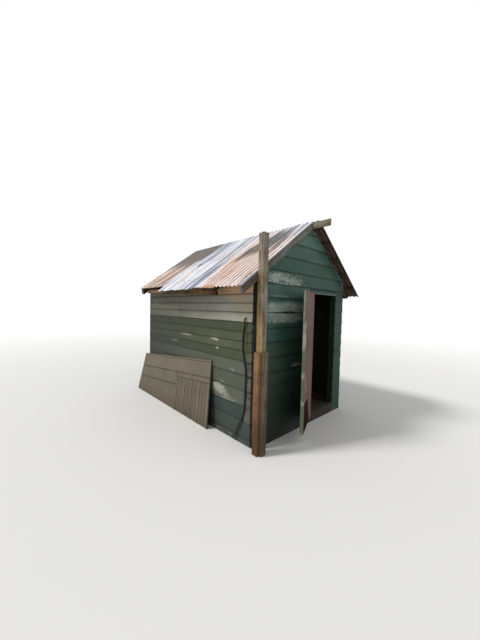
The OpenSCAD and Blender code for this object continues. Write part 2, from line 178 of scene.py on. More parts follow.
class HutColours(bpy.types.PropertyGroup):
    """Paints, woods and metals of the outhouse."""

    gable_green: hue("Gable green", "#26473c", "Green oil paint of the front, right and rear")
    gable_faded: hue("Faded green", "#4b685e", "The same green where the sun has chalked it")
    teal: hue("Teal", "#303c37", "Paint of the lowest boards of the left wall")
    grey_olive: hue("Grey olive", "#434839", "Paint of the middle boards of the left wall")
    olive: hue("Olive", "#394029", "Paint of the olive band of the left wall")
    off_white: hue("Off-white", "#a09d91", "Paint of the top boards of the left wall")
    # A warm tan, part rust mark and part painted light that lifts the eave's shadow
    warm_white: hue("Stained white", "#cba47b", "Off-white boards where rusty water has run")
    lilac_grey: hue("Lilac grey", "#6a685b", "Bare patch boards low on the left wall")
    undercoat: hue("Undercoat", "#a3b0aa", "Pale primer that shows where paint has flaked")
    bare_board: hue("Bare board", "#54524a", "Weathered wood under the paint")
    door_edge: hue("Door edge", "#545c45", "Green paint of the door's edge")
    lining: hue("Door lining", "#57382f", "Pinkish brown lining of the door")
    rot: hue("Rot", "#2c1d15", "Dark soft rotted wood")
    strip_grey: hue("Lintel strip", "#1f352d", "Narrow painted board over the doorway")
    # Painted shade: the framing is painted dark for the hut's dark inside
    lumber: hue("Framing lumber", "#4a3a2b", "Sawn spruce inside the hut")
    floor_board: hue("Floor boards", "#463d32", "Worn floor and sill boards")
    barge: hue("Barge board", "#84857f", "Silvered board under the front edge of the roof")
    ridge: hue("Ridge board", "#8c8577", "Khaki brown ridge board")
    fascia: hue("Fascia", "#8a6a4a", "Rotted brown board under the eave")
    post_grey: hue("Post, upper", "#969082", "Silvered green-grey wood on the corner post")
    post_gold: hue("Post, lower", "#ba9860", "Golden brown wood of the corner post")
    scab_orange: hue("Side piece", "#95724e", "Orange brown piece nailed to the post's side")
    scab_pink: hue("Front piece", "#847362", "Pinkish grey piece nailed to the post's front")
    zinc: hue("Zinc", "#e3e3e6", "Dull galvanised roof sheet")
    rosy: hue("Rosy rust", "#eed8cc", "Thin wash of rust over the zinc")
    rust: hue("Orange rust", "#d8a680", "Rust that has eaten through the zinc")
    # Soiling, and painted shade in the valleys of the sheets
    grime_and_painted_shade: hue("Roof grime", "#4a443f", "Dark dirt in the valleys of the sheets")
    iron: hue("Rusty iron", "#33291f", "Dark rusted hinges, hasp and nails")
    panel_tan: hue("Tan panel", "#6b6251", "Faded tan paint of the leaning panel")
    panel_dark: hue("Tan panel, lower", "#554d3f", "The same paint where it is darker")
    pipe_black: hue("Pipe", "#0e0f10", "Black polyethylene pipe")
    ground: hue("Ground", "#dcdad5", "Plain pale floor under the hut")


class HutSizes(bpy.types.PropertyGroup):
    """Sizes of the fine shapes."""

    butt: span("Board butt", 0.0074, "Thickness of a lapped board at its lower edge")
    tuck: span("Board tuck", 0.022, "How far a board runs up behind the next one")
    wander: span("Board wander", 0.0016, "How far a board's edge strays from straight")
    station: span("Board step", 0.055, "Distance between the cross-sections of a board")
    # Painted shade: height of the dark band painted under each lap
    painted_shade: span("Dirt line", 0.028, "Height of the dirt under each lap")
    floor_plank: span("Floor plank", 0.140, "Width of a floor plank")
    sheet_bend: span("Sheet bend", 0.005, "How far the eaves of the roof sheets are bent")
    screw: span("Screw head", 0.0045, "Radius of the screw heads in the ironwork")
    nail: span("Nail head", 0.0042, "Radius of the nail heads in the boards")
    roof_nail: span("Roof nail", 0.0075, "Radius of the washers of the roof nails")


def colours():
    return bpy.context.scene.hut_colours


def sizes():
    return bpy.context.scene.hut_sizes


# Finishes

# What the pieces carry on their points for the finishes to read
POINT_VALUES = {
    "tone": "FLOAT", "shade": "FLOAT", "worn": "FLOAT",
    "grain": "FLOAT_VECTOR", "stain_and_painted_light": "FLOAT_VECTOR",
}
MIX_COLOUR = {"out": 2, "data_type": "RGBA"}


def add_node(tree, kind, inputs=(), out=0, **settings):
    """Adds one node with its settings and links, and gives one of its outputs.

    Its inputs are a list in the order of its sockets, or a dict by their name or number. A
    colour among them can be an sRGB hex value.
    """
    node = tree.nodes.new("ShaderNode" + kind)
    for name, value in settings.items():
        setattr(node, name, value)
    for socket, value in inputs.items() if isinstance(inputs, dict) else enumerate(inputs):
        if isinstance(value, bpy.types.NodeSocket):
            tree.links.new(value, node.inputs[socket])
        else:
            plain = linear(value) if isinstance(value, str) else value
            node.inputs[socket].default_value = plain
    return node.outputs[out] if node.outputs else None


def new_finish(name, *values):
    """An empty material, what adds its nodes, and the values it reads from a piece's points."""
    material = bpy.data.materials.new(name)
    material.use_nodes = True
    material.node_tree.nodes.clear()
    add = partial(add_node, material.node_tree)
    outs = {"FLOAT": "Fac", "FLOAT_VECTOR": "Vector"}
    return (material, add, *(
        add("Attribute", out=outs[POINT_VALUES[value]], attribute_name=value)
        for value in values
    ))


def coated(material, skin, coats, relief, strength, depth, surface):
    """Lays coats of colour over a skin, each by its mask, and ends the material with them."""
    add = partial(add_node, material.node_tree)
    for mask, colour, *way in coats:
        skin = add("Mix", {0: mask, 6: skin, 7: colour}, blend_type=(*way, "MIX")[0],
                   **MIX_COLOUR)
    bump = add("Bump", {"Height": relief, "Strength": strength, "Distance": depth})
    add("OutputMaterial", [
        add("BsdfPrincipled", {"Base Color": skin, "Normal": bump, **surface}),
    ])
    return material


def peeling_paint(name, paint, faded, under, bare, wear=0.0, stain_and_painted_light=None):
    """Oil paint brushed on sawn softwood, peeling after years outdoors.

    To the eye: a dull colour that chalks lighter in places, ragged flakes with a pale undercoat
    at their rims, grey grained wood inside them, painted shade under each lap and on the boards'
    backs, and boards painted darker all over where they lie in shade.
    """
    material, add, grain, tone, shade, worn, marks = new_finish(
        name, "grain", "tone", "shade", "worn", "stain_and_painted_light")
    tint, damp_and_painted_shade, _ = add("SeparateXYZ", [marks]).node.outputs
    fibres, flakes, broad, runs = (
        add("TexNoise", {
            "Vector": add("VectorMath", [grain, scale], operation="MULTIPLY"),
            "Scale": 1.0, "Detail": detail, "Roughness": rough, "Distortion": bend,
        })
        for scale, detail, rough, bend in (
            # Wood fibres 5 mm apart and about 150 mm long
            ((7, 200, 200), 4.0, 0.6, 0.0),
            # Flakes about 30 mm long and 12 mm high
            ((22, 60, 60), 6.0, 0.68, 0.5),
            # Broad patches 400 mm wide, where sun and rain reach
            ((2.6, 2.6, 2.6), 3.0, 0.5, 0.0),
            # Runs of dirty water 25 mm wide down each board
            ((38, 4, 4), 3.0, 0.5, 0.0),
        )
    )
    peel = add("MapRange", [flakes, 0.25, 0.75, -0.42, 0.42], clamp=False)
    for part in (worn, add("MapRange", [broad, 0.3, 0.7, -0.1, 0.12]), wear):
        peel = add("Math", [peel, part])
    flaked = add("MapRange", [peel, 0.40, 0.47])
    stripped = add("MapRange", [peel, 0.80, 0.88])
    wood_tone = add("MapRange", [fibres, 0.35, 0.65])
    primer = add("Mix", {0: wood_tone, 6: "#7e7f76", 7: under}, **MIX_COLOUR)
    wood = add("Mix", {0: wood_tone, 6: "#23221e", 7: bare}, **MIX_COLOUR)

    chalk = add("MapRange", [add("Math", [broad, tone]), 0.75, 1.35])
    coats = [(chalk, faded)]
    # The tint coat: a real brown mark on the lining, and painted light on the walls
    if stain_and_painted_light is not None:
        spread = add("Math", [tint, broad, -0.12], operation="MULTIPLY_ADD")
        coats.append((add("MapRange", [spread, 0.0, 0.42]), stain_and_painted_light))
    # Paint round a peeled patch has worn thin, and the primer shows through
    thin = add("Math", [runs, worn], operation="MULTIPLY")
    ragged = add("MapRange", [flakes, 0.3, 0.6, 0.80, 1.0])
    coats += [
        (add("MapRange", [thin, 0.11, 0.36, 0.0, 0.50]), under),
        (add("MapRange", [runs, 0.5, 0.75, 0.0, 0.12]), "#22271f"),
        (flaked, primer),
        (stripped, wood),
        # Painted shade: boards that lie in shade are painted darker all over, and the lining
        # is darker in its middle
        (damp_and_painted_shade, "#7a7c69", "MULTIPLY"),
        # Painted shade under each lap and on the boards' backs, broken a little by the flakes
        (add("Math", [shade, ragged], operation="MULTIPLY"), "#15170f"),
    ]
    gone = add("Math", [flaked, stripped])
    relief = add("Math", [gone, -0.5, fibres], operation="MULTIPLY_ADD")
    return coated(material, paint, coats, relief, 0.55, 0.002, {
        "Roughness": add("MapRange", [flaked, 0.0, 1.0, 0.58, 0.88]),
        # Chalked paint shines less than fresh paint
        "Specular IOR Level": 0.3,
    })


def weathered_wood(name, light, dark, stretch=(6, 150, 150), knots=0.5, checks=0.5, other=None,
                   sheen=0.25, packed=False, turn=None):
    """Rough sawn softwood left bare to sun and rain.

    To the eye: silky streaks along the grain, darker growth bands, thin black drying cracks,
    and here and there a round dark knot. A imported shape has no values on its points, so its
    grain goes by its place, and turns with a sloping piece.
    """
    material, add, *values = new_finish(name, *(() if packed else ("grain", "shade", "worn")))
    place, shade, worn = values or (add("TexCoord", out="Object"), None, None)
    if turn is not None:
        place = add("VectorMath", [place], operation="ABSOLUTE")
        place = add("VectorRotate", {"Vector": place, "Angle": turn}, rotation_type="Y_AXIS")
    fibres, bands, patch, crack = (
        add("TexNoise", {
            "Vector": add("VectorMath", [place, scale], operation="MULTIPLY"),
            "Scale": 1.0, "Detail": detail, "Roughness": rough, "Distortion": bend,
        })
        for scale, detail, rough, bend in (
            # Fibres 6 mm apart, and bands of growth rings about 30 mm apart
            (stretch, 5.0, 0.65, 0.0),
            ([value * 0.22 for value in stretch], 3.0, 0.5, 0.6),
            # Patches 300 mm wide
            ((3.5, 3.5, 3.5), 2.0, 0.5, 0.0),
            # Drying cracks about 1 mm wide, drawn near 3 mm so that they show
            ([value * 0.3 for value in stretch], 1.0, 0.5, 0.0),
        )
    )
    depth = add("Math", [add("Math", [fibres, bands]), patch])
    depth = add("MapRange", [depth, 1.15, 1.85])
    # Knots 20 to 30 mm across, about four to the metre
    knot_scale = [3.6 if value < 100 else 5.5 for value in stretch]
    knot_space = add("VectorMath", [place, knot_scale], operation="MULTIPLY")
    knot = add("TexVoronoi", {"Vector": knot_space, "Scale": 1.0})
    crack = add("Math", [crack, 0.5], operation="SUBTRACT")
    crack = add("Math", [crack], operation="ABSOLUTE")
    crack = add("MapRange", [crack, 0.004, 0.016, checks, 0.0])
    base = light
    if other is not None:
        blend = add("MapRange", [add("Math", [patch, worn]), 0.75, 1.25])
        base = add("Mix", {0: blend, 6: light, 7: other}, **MIX_COLOUR)
    coats = [
        (depth, base),
        (add("MapRange", [knot, 0.06, 0.14, knots, 0.0]), "#2c1d12"),
        (crack, "#17120d"),
    ]
    # Painted shade, as much as each piece carries
    if shade is not None:
        coats.append((shade, "#1b1611"))
    relief = add("Math", [crack, -1.2, fibres], operation="MULTIPLY_ADD")
    return coated(material, dark, coats, relief, 0.6, 0.003, {
        "Roughness": add("MapRange", [depth, 0.0, 1.0, 0.92, 0.74]),
        # Dry open grain shines less than planed wood
        "Specular IOR Level": sheen,
    })


def galvanised_sheet(name):
    """Hot-dipped galvanised corrugated steel, decades old.

    To the eye: dull pale crests and valleys darkened by soiling and painted shade, long
    blue-grey, rosy and orange streaks down the slope, and brown rust where the zinc has gone.
    """
    hues = colours()
    material, add, grain, stain_and_painted_light, valley = new_finish(name, "grain", "stain_and_painted_light", "shade")
    rusted, blushed, sooted = add("SeparateXYZ", [stain_and_painted_light]).node.outputs
    streaks, fine, runs, mottle = (
        add("TexNoise", {
            "Vector": add("VectorMath", [grain, scale], operation="MULTIPLY"),
            "Scale": 1.0, "Detail": detail, "Roughness": rough,
        })
        for scale, detail, rough in (
            # Streaks 35 mm wide that run down a metre of the slope, then finer ones 12 mm wide
            ((1.1, 28, 4), 5.0, 0.65),
            ((2.0, 80, 8), 3.0, 0.6),
            # Runs 100 mm wide, and a mottle of 26 mm
            ((0.8, 10, 3), 3.0, 0.6),
            ((38, 38, 38), 5.0, 0.7),
        )
    )
    # Zinc crystals about 12 mm across
    spangle = add("TexVoronoi", {"Vector": grain, "Scale": 85.0})
    # Streaks break up the edge of every stain
    edge = add("Math", [streaks, 1.9, -0.95], operation="MULTIPLY_ADD")
    spread = add("Math", [rusted, edge])
    blue, rosy, rust, gather, soot = (
        add("MapRange", [add("Math", parts, operation=way), low, high, 0.0, most])
        for way, parts, low, high, most in (
            ("MULTIPLY_ADD", [valley, 0.16, runs], 0.47, 0.67, 0.9),
            ("ADD", [blushed, edge], 0.22, 0.62, 1.0),
            ("MULTIPLY_ADD", [mottle, 0.5, spread], 0.55, 0.85, 1.0),
            # Soiling and painted shade lie in the valleys, and soiling in a few long dark streaks
            ("MULTIPLY", [valley, streaks], 0.20, 0.50, 0.80),
            ("ADD", [sooted, edge], 0.30, 0.62, 0.88),
        )
    )
    # Valleys take each rust's darker tone, partly painted shade
    low_tone = add("Math", [fine, 1.1, valley], operation="MULTIPLY_ADD")
    rosy_tone, rust_tone = (
        add("Mix", {
            0: add("MapRange", [low_tone, low, high]), 6: pale, 7: deep_and_painted_shade,
        }, **MIX_COLOUR)
        for low, high, pale, deep_and_painted_shade in (
            (0.60, 1.30, hues.rosy, "#765448"), (0.50, 1.20, hues.rust, "#74452a"),
        )
    )
    coats = [
        (add("MapRange", [spangle, 0.0, 0.8, 0.0, 0.18]), "#9fa5b4"), (blue, "#6c748a"),
        (rosy, rosy_tone), (rust, rust_tone),
        (add("Math", [gather, soot], operation="MAXIMUM"), hues.grime_and_painted_shade),
    ]
    eaten = add("Math", [rust, rosy], operation="MAXIMUM")
    relief = add("Math", [rust, mottle], operation="MULTIPLY")
    return coated(material, hues.zinc, coats, relief, 0.5, 0.0015, {
        "Metallic": add("MapRange", [eaten, 1.0, 0.0, 0.0, 0.3]),
        "Roughness": add("MapRange", [mottle, 0.3, 0.7, 0.5, 0.8]),
    })


def rusted_iron(name, base=None, bloom="#6b4023", shine=0.55):
    """Forged and stamped mild steel with a dry brown rust over its whole surface.

    To the eye: almost black brown, with small orange brown blooms and a pitted, matt surface.
    """
    material, add = new_finish(name)
    place = add("TexCoord", out="Object")
    # Pits 2 mm across and blooms 15 mm across
    pits, blooms = (
        add("TexNoise", {
            "Vector": place, "Scale": scale, "Detail": detail, "Roughness": rough,
        })
        for scale, detail, rough in ((420.0, 4.0, 0.7), (65.0, 5.0, 0.65))
    )
    bloomed = add("MapRange", [blooms, 0.48, 0.66])
    coats = [(bloomed, bloom), (add("MapRange", [pits, 0.35, 0.6, 0.55, 0.0]), "#15100c")]
    return coated(material, base or colours().iron, coats, pits, 0.5, 0.0008, {
        "Metallic": add("MapRange", [bloomed, 0.0, 1.0, shine, 0.0]),
        "Roughness": 0.72,
    })


def painted_hardboard(name):
    """Pressed hardboard in faded tan house paint.

    To the eye: a flat even colour, lighter where the sun reaches, with water marks, scuffs along
    the raised edges and splashed earth near the ground.
    """
    hues = colours()
    material, add, grain, shade, tone = new_finish(name, "grain", "shade", "tone")
    place = add("TexCoord", out="Object")
    broad, marks, grit = (
        add("TexNoise", {
            "Vector": add("VectorMath", [space, scale], operation="MULTIPLY"),
            "Scale": 1.0, "Detail": 4.0, "Roughness": rough,
        })
        for space, scale, rough in (
            # Patches 300 mm wide, and water marks 40 mm wide that run down the panel
            (place, (3.2, 3.2, 3.2), 0.5),
            (place, (20, 26, 3), 0.5),
            # Grit of the pressed board, 3 mm, drawn at 6 mm so that it shows
            (grain, (160, 160, 160), 0.7),
        )
    )
    height = add("SeparateXYZ", [place], out=2)
    splash = add("Math", [grit, 0.3, height], operation="MULTIPLY_ADD")
    return coated(material, hues.panel_dark, [
        (add("MapRange", [add("Math", [broad, tone]), 0.6, 1.4]), hues.panel_tan),
        (add("MapRange", [marks, 0.52, 0.72, 0.0, 0.45]), "#443e33"),
        (add("MapRange", [grit, 0.60, 0.72, 0.0, 0.5]), "#8d8674"),
        (add("MapRange", [splash, 0.15, 0.42, 0.7, 0.0]), "#4a3c2c"),
        # Painted shade in the gaps between boards and towards the far end
        (shade, "#2b251c"),
    ], grit, 0.3, 0.001, {"Roughness": 0.66})


def black_polyethylene(name):
    """Extruded black polyethylene water pipe.

    To the eye: deep black with a soft waxy sheen, fine scratches along it and a film of dust.
    """
    material, add, grain = new_finish(name, "grain")
    # Scratches 2 mm wide along the pipe and dust in 20 mm patches
    along = add("VectorMath", [grain, (12, 500, 500)], operation="MULTIPLY")
    scratches = add("TexNoise", {"Vector": along, "Scale": 1.0, "Detail": 3.0})
    dust = add("TexNoise", {"Vector": grain, "Scale": 50.0, "Detail": 4.0})
    film = add("MapRange", [dust, 0.5, 0.8, 0.0, 0.2])
    return coated(material, colours().pipe_black, [(film, "#55524a")], scratches, 0.25, 0.0006, {
        "Roughness": add("MapRange", [scratches, 0.35, 0.65, 0.55, 0.8]),
        "IOR": 1.51,
    })


def green_paint():
    """The green paint that the front, right and rear walls and the door's outside share."""
    hues = colours()
    name = "Oil paint, green"
    # Its tint colour is painted light, a warm bounce light on the boards behind the open door
    return bpy.data.materials.get(name) or peeling_paint(
        name, hues.gable_green, hues.gable_faded, hues.undercoat, hues.bare_board,
        stain_and_painted_light="#3c4c3e")


def bare_iron():
    """The rusted steel that the hinges, screws and nails share."""
    name = "Rusted mild steel"
    return bpy.data.materials.get(name) or rusted_iron(name)


# Mesh building

def drift(rng, size, longest=1.9, shortest=0.35):
    """A smooth line that strays from zero by about size either way."""
    parts = [
        (2 * math.pi / rng.uniform(shortest, longest), rng.uniform(0, 2 * math.pi),
         rng.uniform(0.4, 1.0))
        for _ in range(4)
    ]
    return lambda s: size * 0.55 * sum(a * np.sin(f * s + p) for f, p, a in parts)


def spots(run, height, marks):
    """Soft patches: each mark is (run, height, half length, half height, strength)."""
    total = np.zeros(len(run))
    for x, z, rx, rz, strength in marks:
        total += strength * np.exp(-(((run - x) / rx) ** 2 + ((height - z) / rz) ** 2) ** 1.5)
    return total


def tube(rings, sides):
    """Faces of a tube through rings of points, then its first end and its last."""
    faces = [
        (i + k, i + (k + 1) % sides, i + sides + (k + 1) % sides, i + sides + k)
        for i in range(0, (rings - 1) * sides, sides) for k in range(sides)
    ]
    last = (rings - 1) * sides
    return faces + [tuple(range(sides))[::-1], tuple(range(last, last + sides))]


def slab(rows, columns, flip=False):
    """Faces of a thin slab between two grids of points, and how many cells a grid has."""
    n = rows * columns
    cells = [i * columns + k for i in range(rows - 1) for k in range(columns - 1)]
    near = [(a + columns, a + columns + 1, a + 1, a) for a in cells]
    far = [tuple(n + point for point in face[::-1]) for face in near]
    rim = (list(range(columns)) + [i * columns + columns - 1 for i in range(1, rows)]
           + [(rows - 1) * columns + k for k in range(columns - 2, -1, -1)]
           + [i * columns for i in range(rows - 2, 0, -1)])
    edge = [(a, b, n + b, n + a) for a, b in zip(rim, rim[1:] + rim[:1])]
    faces = near + edge + far
    return [face[::-1] for face in faces] if flip else faces, len(cells)


class Pieces:
    """Boards and other swept shapes gathered into one mesh with its surface values."""

    def __init__(self, seed):
        self.rng = np.random.default_rng(seed)
        self.points = []
        self.faces = []
        self.slots = []
        self.values = {name: [] for name in POINT_VALUES}
        self.count = 0

    def keep(self, points, faces, slot=0, tone=0.5, shade=0.0, worn=0.0, stain_and_painted_light=0.0, grain=None):
        """Adds points and faces, with one surface value for all the points or one for each."""
        points = np.asarray(points, float)
        self.points.append(points)
        self.faces += [tuple(self.count + i for i in face) for face in faces]
        self.slots += slot if isinstance(slot, list) else [slot] * len(faces)
        self.count += len(points)
        given = {"tone": tone, "shade": shade, "worn": worn, "stain_and_painted_light": stain_and_painted_light,
                 "grain": points if grain is None else grain}
        for name, value in given.items():
            shape = points.shape if POINT_VALUES[name] == "FLOAT_VECTOR" else len(points)
            self.values[name].append(np.broadcast_to(value, shape))

    def sweep(self, origin, axes, section, ends, slot=0, shade=0.0, worn=None, stain_and_painted_light=None,
              tone=None, step=None, sway=0.0, bow=0.0, rough_end=(0.0, 0.0), nibble=0.0):
        """Sweeps a closed section of (across, out) points between two ends along a line."""
        rng = self.rng
        along, across, out = axes
        section = np.asarray(section, float)
        n = len(section)
        lows, highs = (
            np.array([end(a) if callable(end) else end for a in section[:, 0]], float)
            for end in ends
        )
        count = max(2, math.ceil(np.max(highs - lows) / (step or sizes().station)) + 1)
        t = np.linspace(0, 1, count)[:, None]
        s = lows + (highs - lows) * t
        # A high power keeps the ragged cut to the last of each end
        for share, most in zip((1 - t, t), rough_end):
            s = s + share ** 8 * rng.uniform(-1, 1, n) * most
        a = section[:, 0] + drift(rng, sway)(s)
        o = section[:, 1] + drift(rng, bow)(s)
        if nibble:
            a = a + rng.normal(0, nibble, (count, n)) * (section[:, 0] == section[:, 0].min())
        points = (np.asarray(origin, float) + s[..., None] * along + a[..., None] * across
                  + o[..., None] * out).reshape(-1, 3)
        # Each board takes its grain from a place of its own, so no two are alike
        grain = np.stack(np.broadcast_arrays(s, *section.T), -1).reshape(-1, 3)
        grain = grain + rng.uniform(-40, 40, 3)
        self.keep(
            points, tube(count, n), slot,
            rng.uniform(0, 1) if tone is None else tone,
            # Painted shade on each point of the section
            np.tile(np.broadcast_to(shade, n), count),
            0.0 if worn is None else worn(points),
            0.0 if stain_and_painted_light is None else stain_and_painted_light(points),
            grain,
        )

    def disc(self, centre, out, radius, height, dome=0.5):
        """A low round head, narrower on top, standing out from a surface."""
        sides = 8
        # Any slanted direction will do to find two that lie in the plane of the head
        side = np.cross(out, (0.31, 0.52, 0.79))
        side /= np.linalg.norm(side)
        up = np.cross(out, side)
        angles = np.linspace(0, 2 * math.pi, sides, endpoint=False) + self.rng.uniform(0, 1)
        ring = np.cos(angles)[:, None] * side + np.sin(angles)[:, None] * up
        centre = np.asarray(centre, float)
        points = np.concatenate([
            centre + ring * radius - out * 0.001,
            centre + ring * radius + out * height * 0.45,
            centre + ring * radius * dome + out * height,
            [centre + out * height * 1.05],
        ])
        crown = [(2 * sides + k, 2 * sides + (k + 1) % sides, 3 * sides) for k in range(sides)]
        self.keep(points, tube(3, sides)[:-1] + crown)

    def make(self, name, materials, slot, *stands_for, body=BUILDING, smooth=38):
        """Makes the object, with its surface values as attributes."""
        mesh = bpy.data.meshes.new(name)
        mesh.from_pydata(np.concatenate(self.points).tolist(), [], self.faces)
        if mesh.validate():
            raise RuntimeError(f"{name} has faulty faces")
        for material in materials:
            mesh.materials.append(material)
        mesh.polygons.foreach_set("material_index", self.slots)
        for key, kind in POINT_VALUES.items():
            layer = mesh.attributes.new(key, kind, "POINT")
            flat = np.concatenate(self.values[key]).astype(np.float32).ravel()
            layer.data.foreach_set("value" if kind == "FLOAT" else "vector", flat)
        mesh.shade_smooth()
        mesh.set_sharp_from_angle(angle=math.radians(smooth))
        piece = bpy.data.objects.new(name, mesh)
        bpy.context.scene.collection.objects.link(piece)
        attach(piece, body)
        if stands_for:
            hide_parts(*stands_for)


def lap_section(show, thick=WALL_BOARDS, top=False):
    """Section of one lapped board from its lower edge, with the painted shade on each point."""
    s = sizes()
    upper = thick - s.butt - 0.0003
    end = show + (0.0 if top else s.tuck)
    # The butt's underside and the board's back are painted dark: painted shade under the lap and
    # inside the hut
    rows = [(0, thick - s.butt, 1.0), (0, thick - 0.0015, 0.85), (0.0015, thick, 0.15)]
    # A band of painted shade at the top of the face, under the next board's butt
    under_lap = ((s.painted_shade, 0.04), (s.painted_shade * 0.45, 0.45), (0.001, 0.97))
    for a, painted_shade in (
        *((show * part, 0.0) for part in (0.12, 0.45, 0.75)),
        *((show - down, 0.0 if top else painted_shade) for down, painted_shade in under_lap),
    ):
        rows.append((a, thick + (upper - thick) * a / show, painted_shade))
    if not top:
        rows.append((end, upper - 0.0016, 1.0))
    rows = np.array(rows + [(end, 0.0012, 1.0)])
    return rows[:, :2], rows[:, 2]


def courses(laps, thick=WALL_BOARDS, capped=True):
    """Courses of lapped boards between heights, each with its section and its painted shade."""
    for bottom, above in zip(laps, laps[1:]):
        yield bottom, above, *lap_section(above - bottom, thick, capped and above == laps[-1])


def plank_section(width, thick, ease=0.003):
    """Section of a sawn board with eased corners, from its lower back corner."""
    return [
        (0, ease), (0, thick - ease), (ease, thick), (width * 0.33, thick),
        (width * 0.66, thick), (width - ease, thick), (width, thick - ease), (width, ease),
        (width - ease, 0), (ease, 0),
    ]


def refinish(finish, *nodes):
    """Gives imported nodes, which keep their shape, a new material."""
    for name in nodes:
        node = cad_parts[name]
        node.data.materials.clear()
        node.data.materials.append(finish)


class HutStep(bpy.types.Operator):
    """What the buttons of all the pieces share"""

    bl_options = {"REGISTER", "UNDO"}


# Walls

def left_wear(points):
    """Where paint has gone from the left wall."""
    y, z = points[:, 1], points[:, 2]
    return 0.02 + spots(y, z, [
        (0.12, 1.336, 0.21, 0.020, 0.62), (0.55, 1.19, 0.24, 0.040, 0.34),
        (-0.70, 1.336, 0.10, 0.020, 0.60), (-0.765, 1.218, 0.05, 0.018, 0.60),
        (-0.80, 0.65, 0.20, 0.080, 0.46), (-0.98, 0.575, 0.18, 0.050, 0.34),
        (-0.98, 0.518, 0.28, 0.014, 0.50), (-1.16, 0.545, 0.10, 0.025, 0.26),
        (-0.88, 0.765, 0.05, 0.025, 0.46), (-1.12, 0.944, 0.05, 0.020, 0.42),
        (-1.0, 0.03, 0.6, 0.06, 0.26), (0.6, 0.03, 0.9, 0.06, 0.26),
        (1.45, 1.0, 0.1, 0.5, 0.14), (-1.45, 0.75, 0.06, 0.5, 0.20),
        (-1.50, 1.9, 0.04, 0.3, 0.22),
    ])


def left_tint_and_painted_shade(points):
    """Warm tint under the eave, part rust mark and part painted light, painted shade on the rear
    half, and darkening towards the ground.
    """
    y, z = points[:, 1], points[:, 2]
    # A warm tint under the eave: part rust mark, part painted light over the eave's shadow
    rust_tint_and_painted_light = spots(y, z, [
        (-1.15, 2.20, 0.75, 0.26, 1.3), (-0.3, 2.20, 0.8, 0.16, 0.9),
        (1.3, 2.10, 0.5, 0.12, 0.5), (-1.3, 1.75, 0.3, 0.2, 0.35),
    ])
    # Painted shade darkens the rear half, and the lowest boards are darker towards the ground
    low_painted_shade, high_painted_shade = (
        np.interp(y, [-1.0, -0.3, 0.6, 1.5], damp_and_painted_shade)
        for damp_and_painted_shade in ([0.0, 0.22, 0.60, 0.86], [0.0, 0.38, 0.84, 0.96])
    )
    damp_and_painted_shade = np.where(z > OLIVE_TOP - 0.01, high_painted_shade, low_painted_shade)
    damp_and_painted_shade = np.clip(damp_and_painted_shade + 0.40 * np.exp(-(z / 0.28) ** 2), 0, 1)
    return np.stack([rust_tint_and_painted_light, damp_and_painted_shade, z * 0], -1)


class HUT_OT_left_wall(HutStep):
    """Lapped boards of the left wall in their four paints, with patch boards by the pipe"""

    bl_idname = "hut.left_wall"
    bl_label = "Left wall boards"

    def execute(self, context):
        hues = colours()
        materials = [
            peeling_paint("Oil paint, " + label, paint, faded, primer, hues.bare_board, wear,
                          stain_and_painted_light)
            for label, paint, faded, primer, wear, stain_and_painted_light in (
                ("dark teal", hues.teal, "#3d4742", "#b3b1a2", 0.02, None),
                ("grey olive", hues.grey_olive, "#515649", "#b3b1a2", 0.0, None),
                ("olive", hues.olive, "#495138", "#b3b1a2", 0.0, None),
                ("off-white", hues.off_white, "#8d8b7e", "#c3bfb0", -0.05, hues.warm_white),
            )
        ]
        materials += [
            weathered_wood("Bare spruce, lilac grey", hues.lilac_grey, "#343231"),
            # Near-black wood for the board ends in the corner: painted shade
            weathered_wood("Bare spruce, torn ends", "#231e19", "#0b0a08"),
        ]
        patch_paint, patch_bare, corner_shade = 2, 4, 5
        low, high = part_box("left_siding")
        pieces = Pieces(11)
        near = low.y + CORNER_SHADE_END
        for bottom, above, section, painted_shade in courses(LEFT_LAPS + [high.z]):
            paint = sum(bottom >= top - 0.01 for top in (TEAL_TOP, GREY_TOP, OLIVE_TOP))
            boards = [(near, high.y, paint, 0.0)]
            if PATCH_FOOT < bottom < OLIVE_TOP - 0.01:
                patch = patch_bare if bottom < PATCH_PAINTED else patch_paint
                boards = [(near, PATCH_JOINT, patch, -0.008),
                          (PATCH_JOINT + 0.004, high.y, paint, 0.0)]
            for start, end, slot, drop in boards:
                pieces.sweep(
                    (high.x, 0, bottom + drop), ON_LEFT, section, (start, end), slot, painted_shade,
                    left_wear, left_tint_and_painted_shade, sway=sizes().wander, bow=BOARD_BOW,
                    rough_end=(0.007 if start == near else 0.001, 0.002),
                )
            # Near-black end of each board beside the corner post: painted shade in the corner
            show = (above - bottom) * 0.9
            pieces.sweep(
                (high.x, 0, bottom + 0.004), ON_LEFT,
                [(0, 0.002), (0, 0.017), (show, 0.011), (show, 0.002)],
                (low.y - 0.004, near + 0.01), corner_shade, 0.35, step=0.01, rough_end=(0.004, 0.0),
            )
        # A pale strip covers the joint beside the pipe
        base = GREY_TOP + 0.045
        pieces.sweep(
            (low.x + 0.004, PATCH_JOINT - 0.012, base), (Z, Y, -X),
            plank_section(0.014, 0.007, 0.0012), (0, OLIVE_TOP - base - 0.012), patch_paint,
            tone=1.0, sway=0.001, rough_end=(0.003, 0.003),
        )
        pieces.make("left_wall_boards", materials, "left_boards", "left_siding")
        return {"FINISHED"}


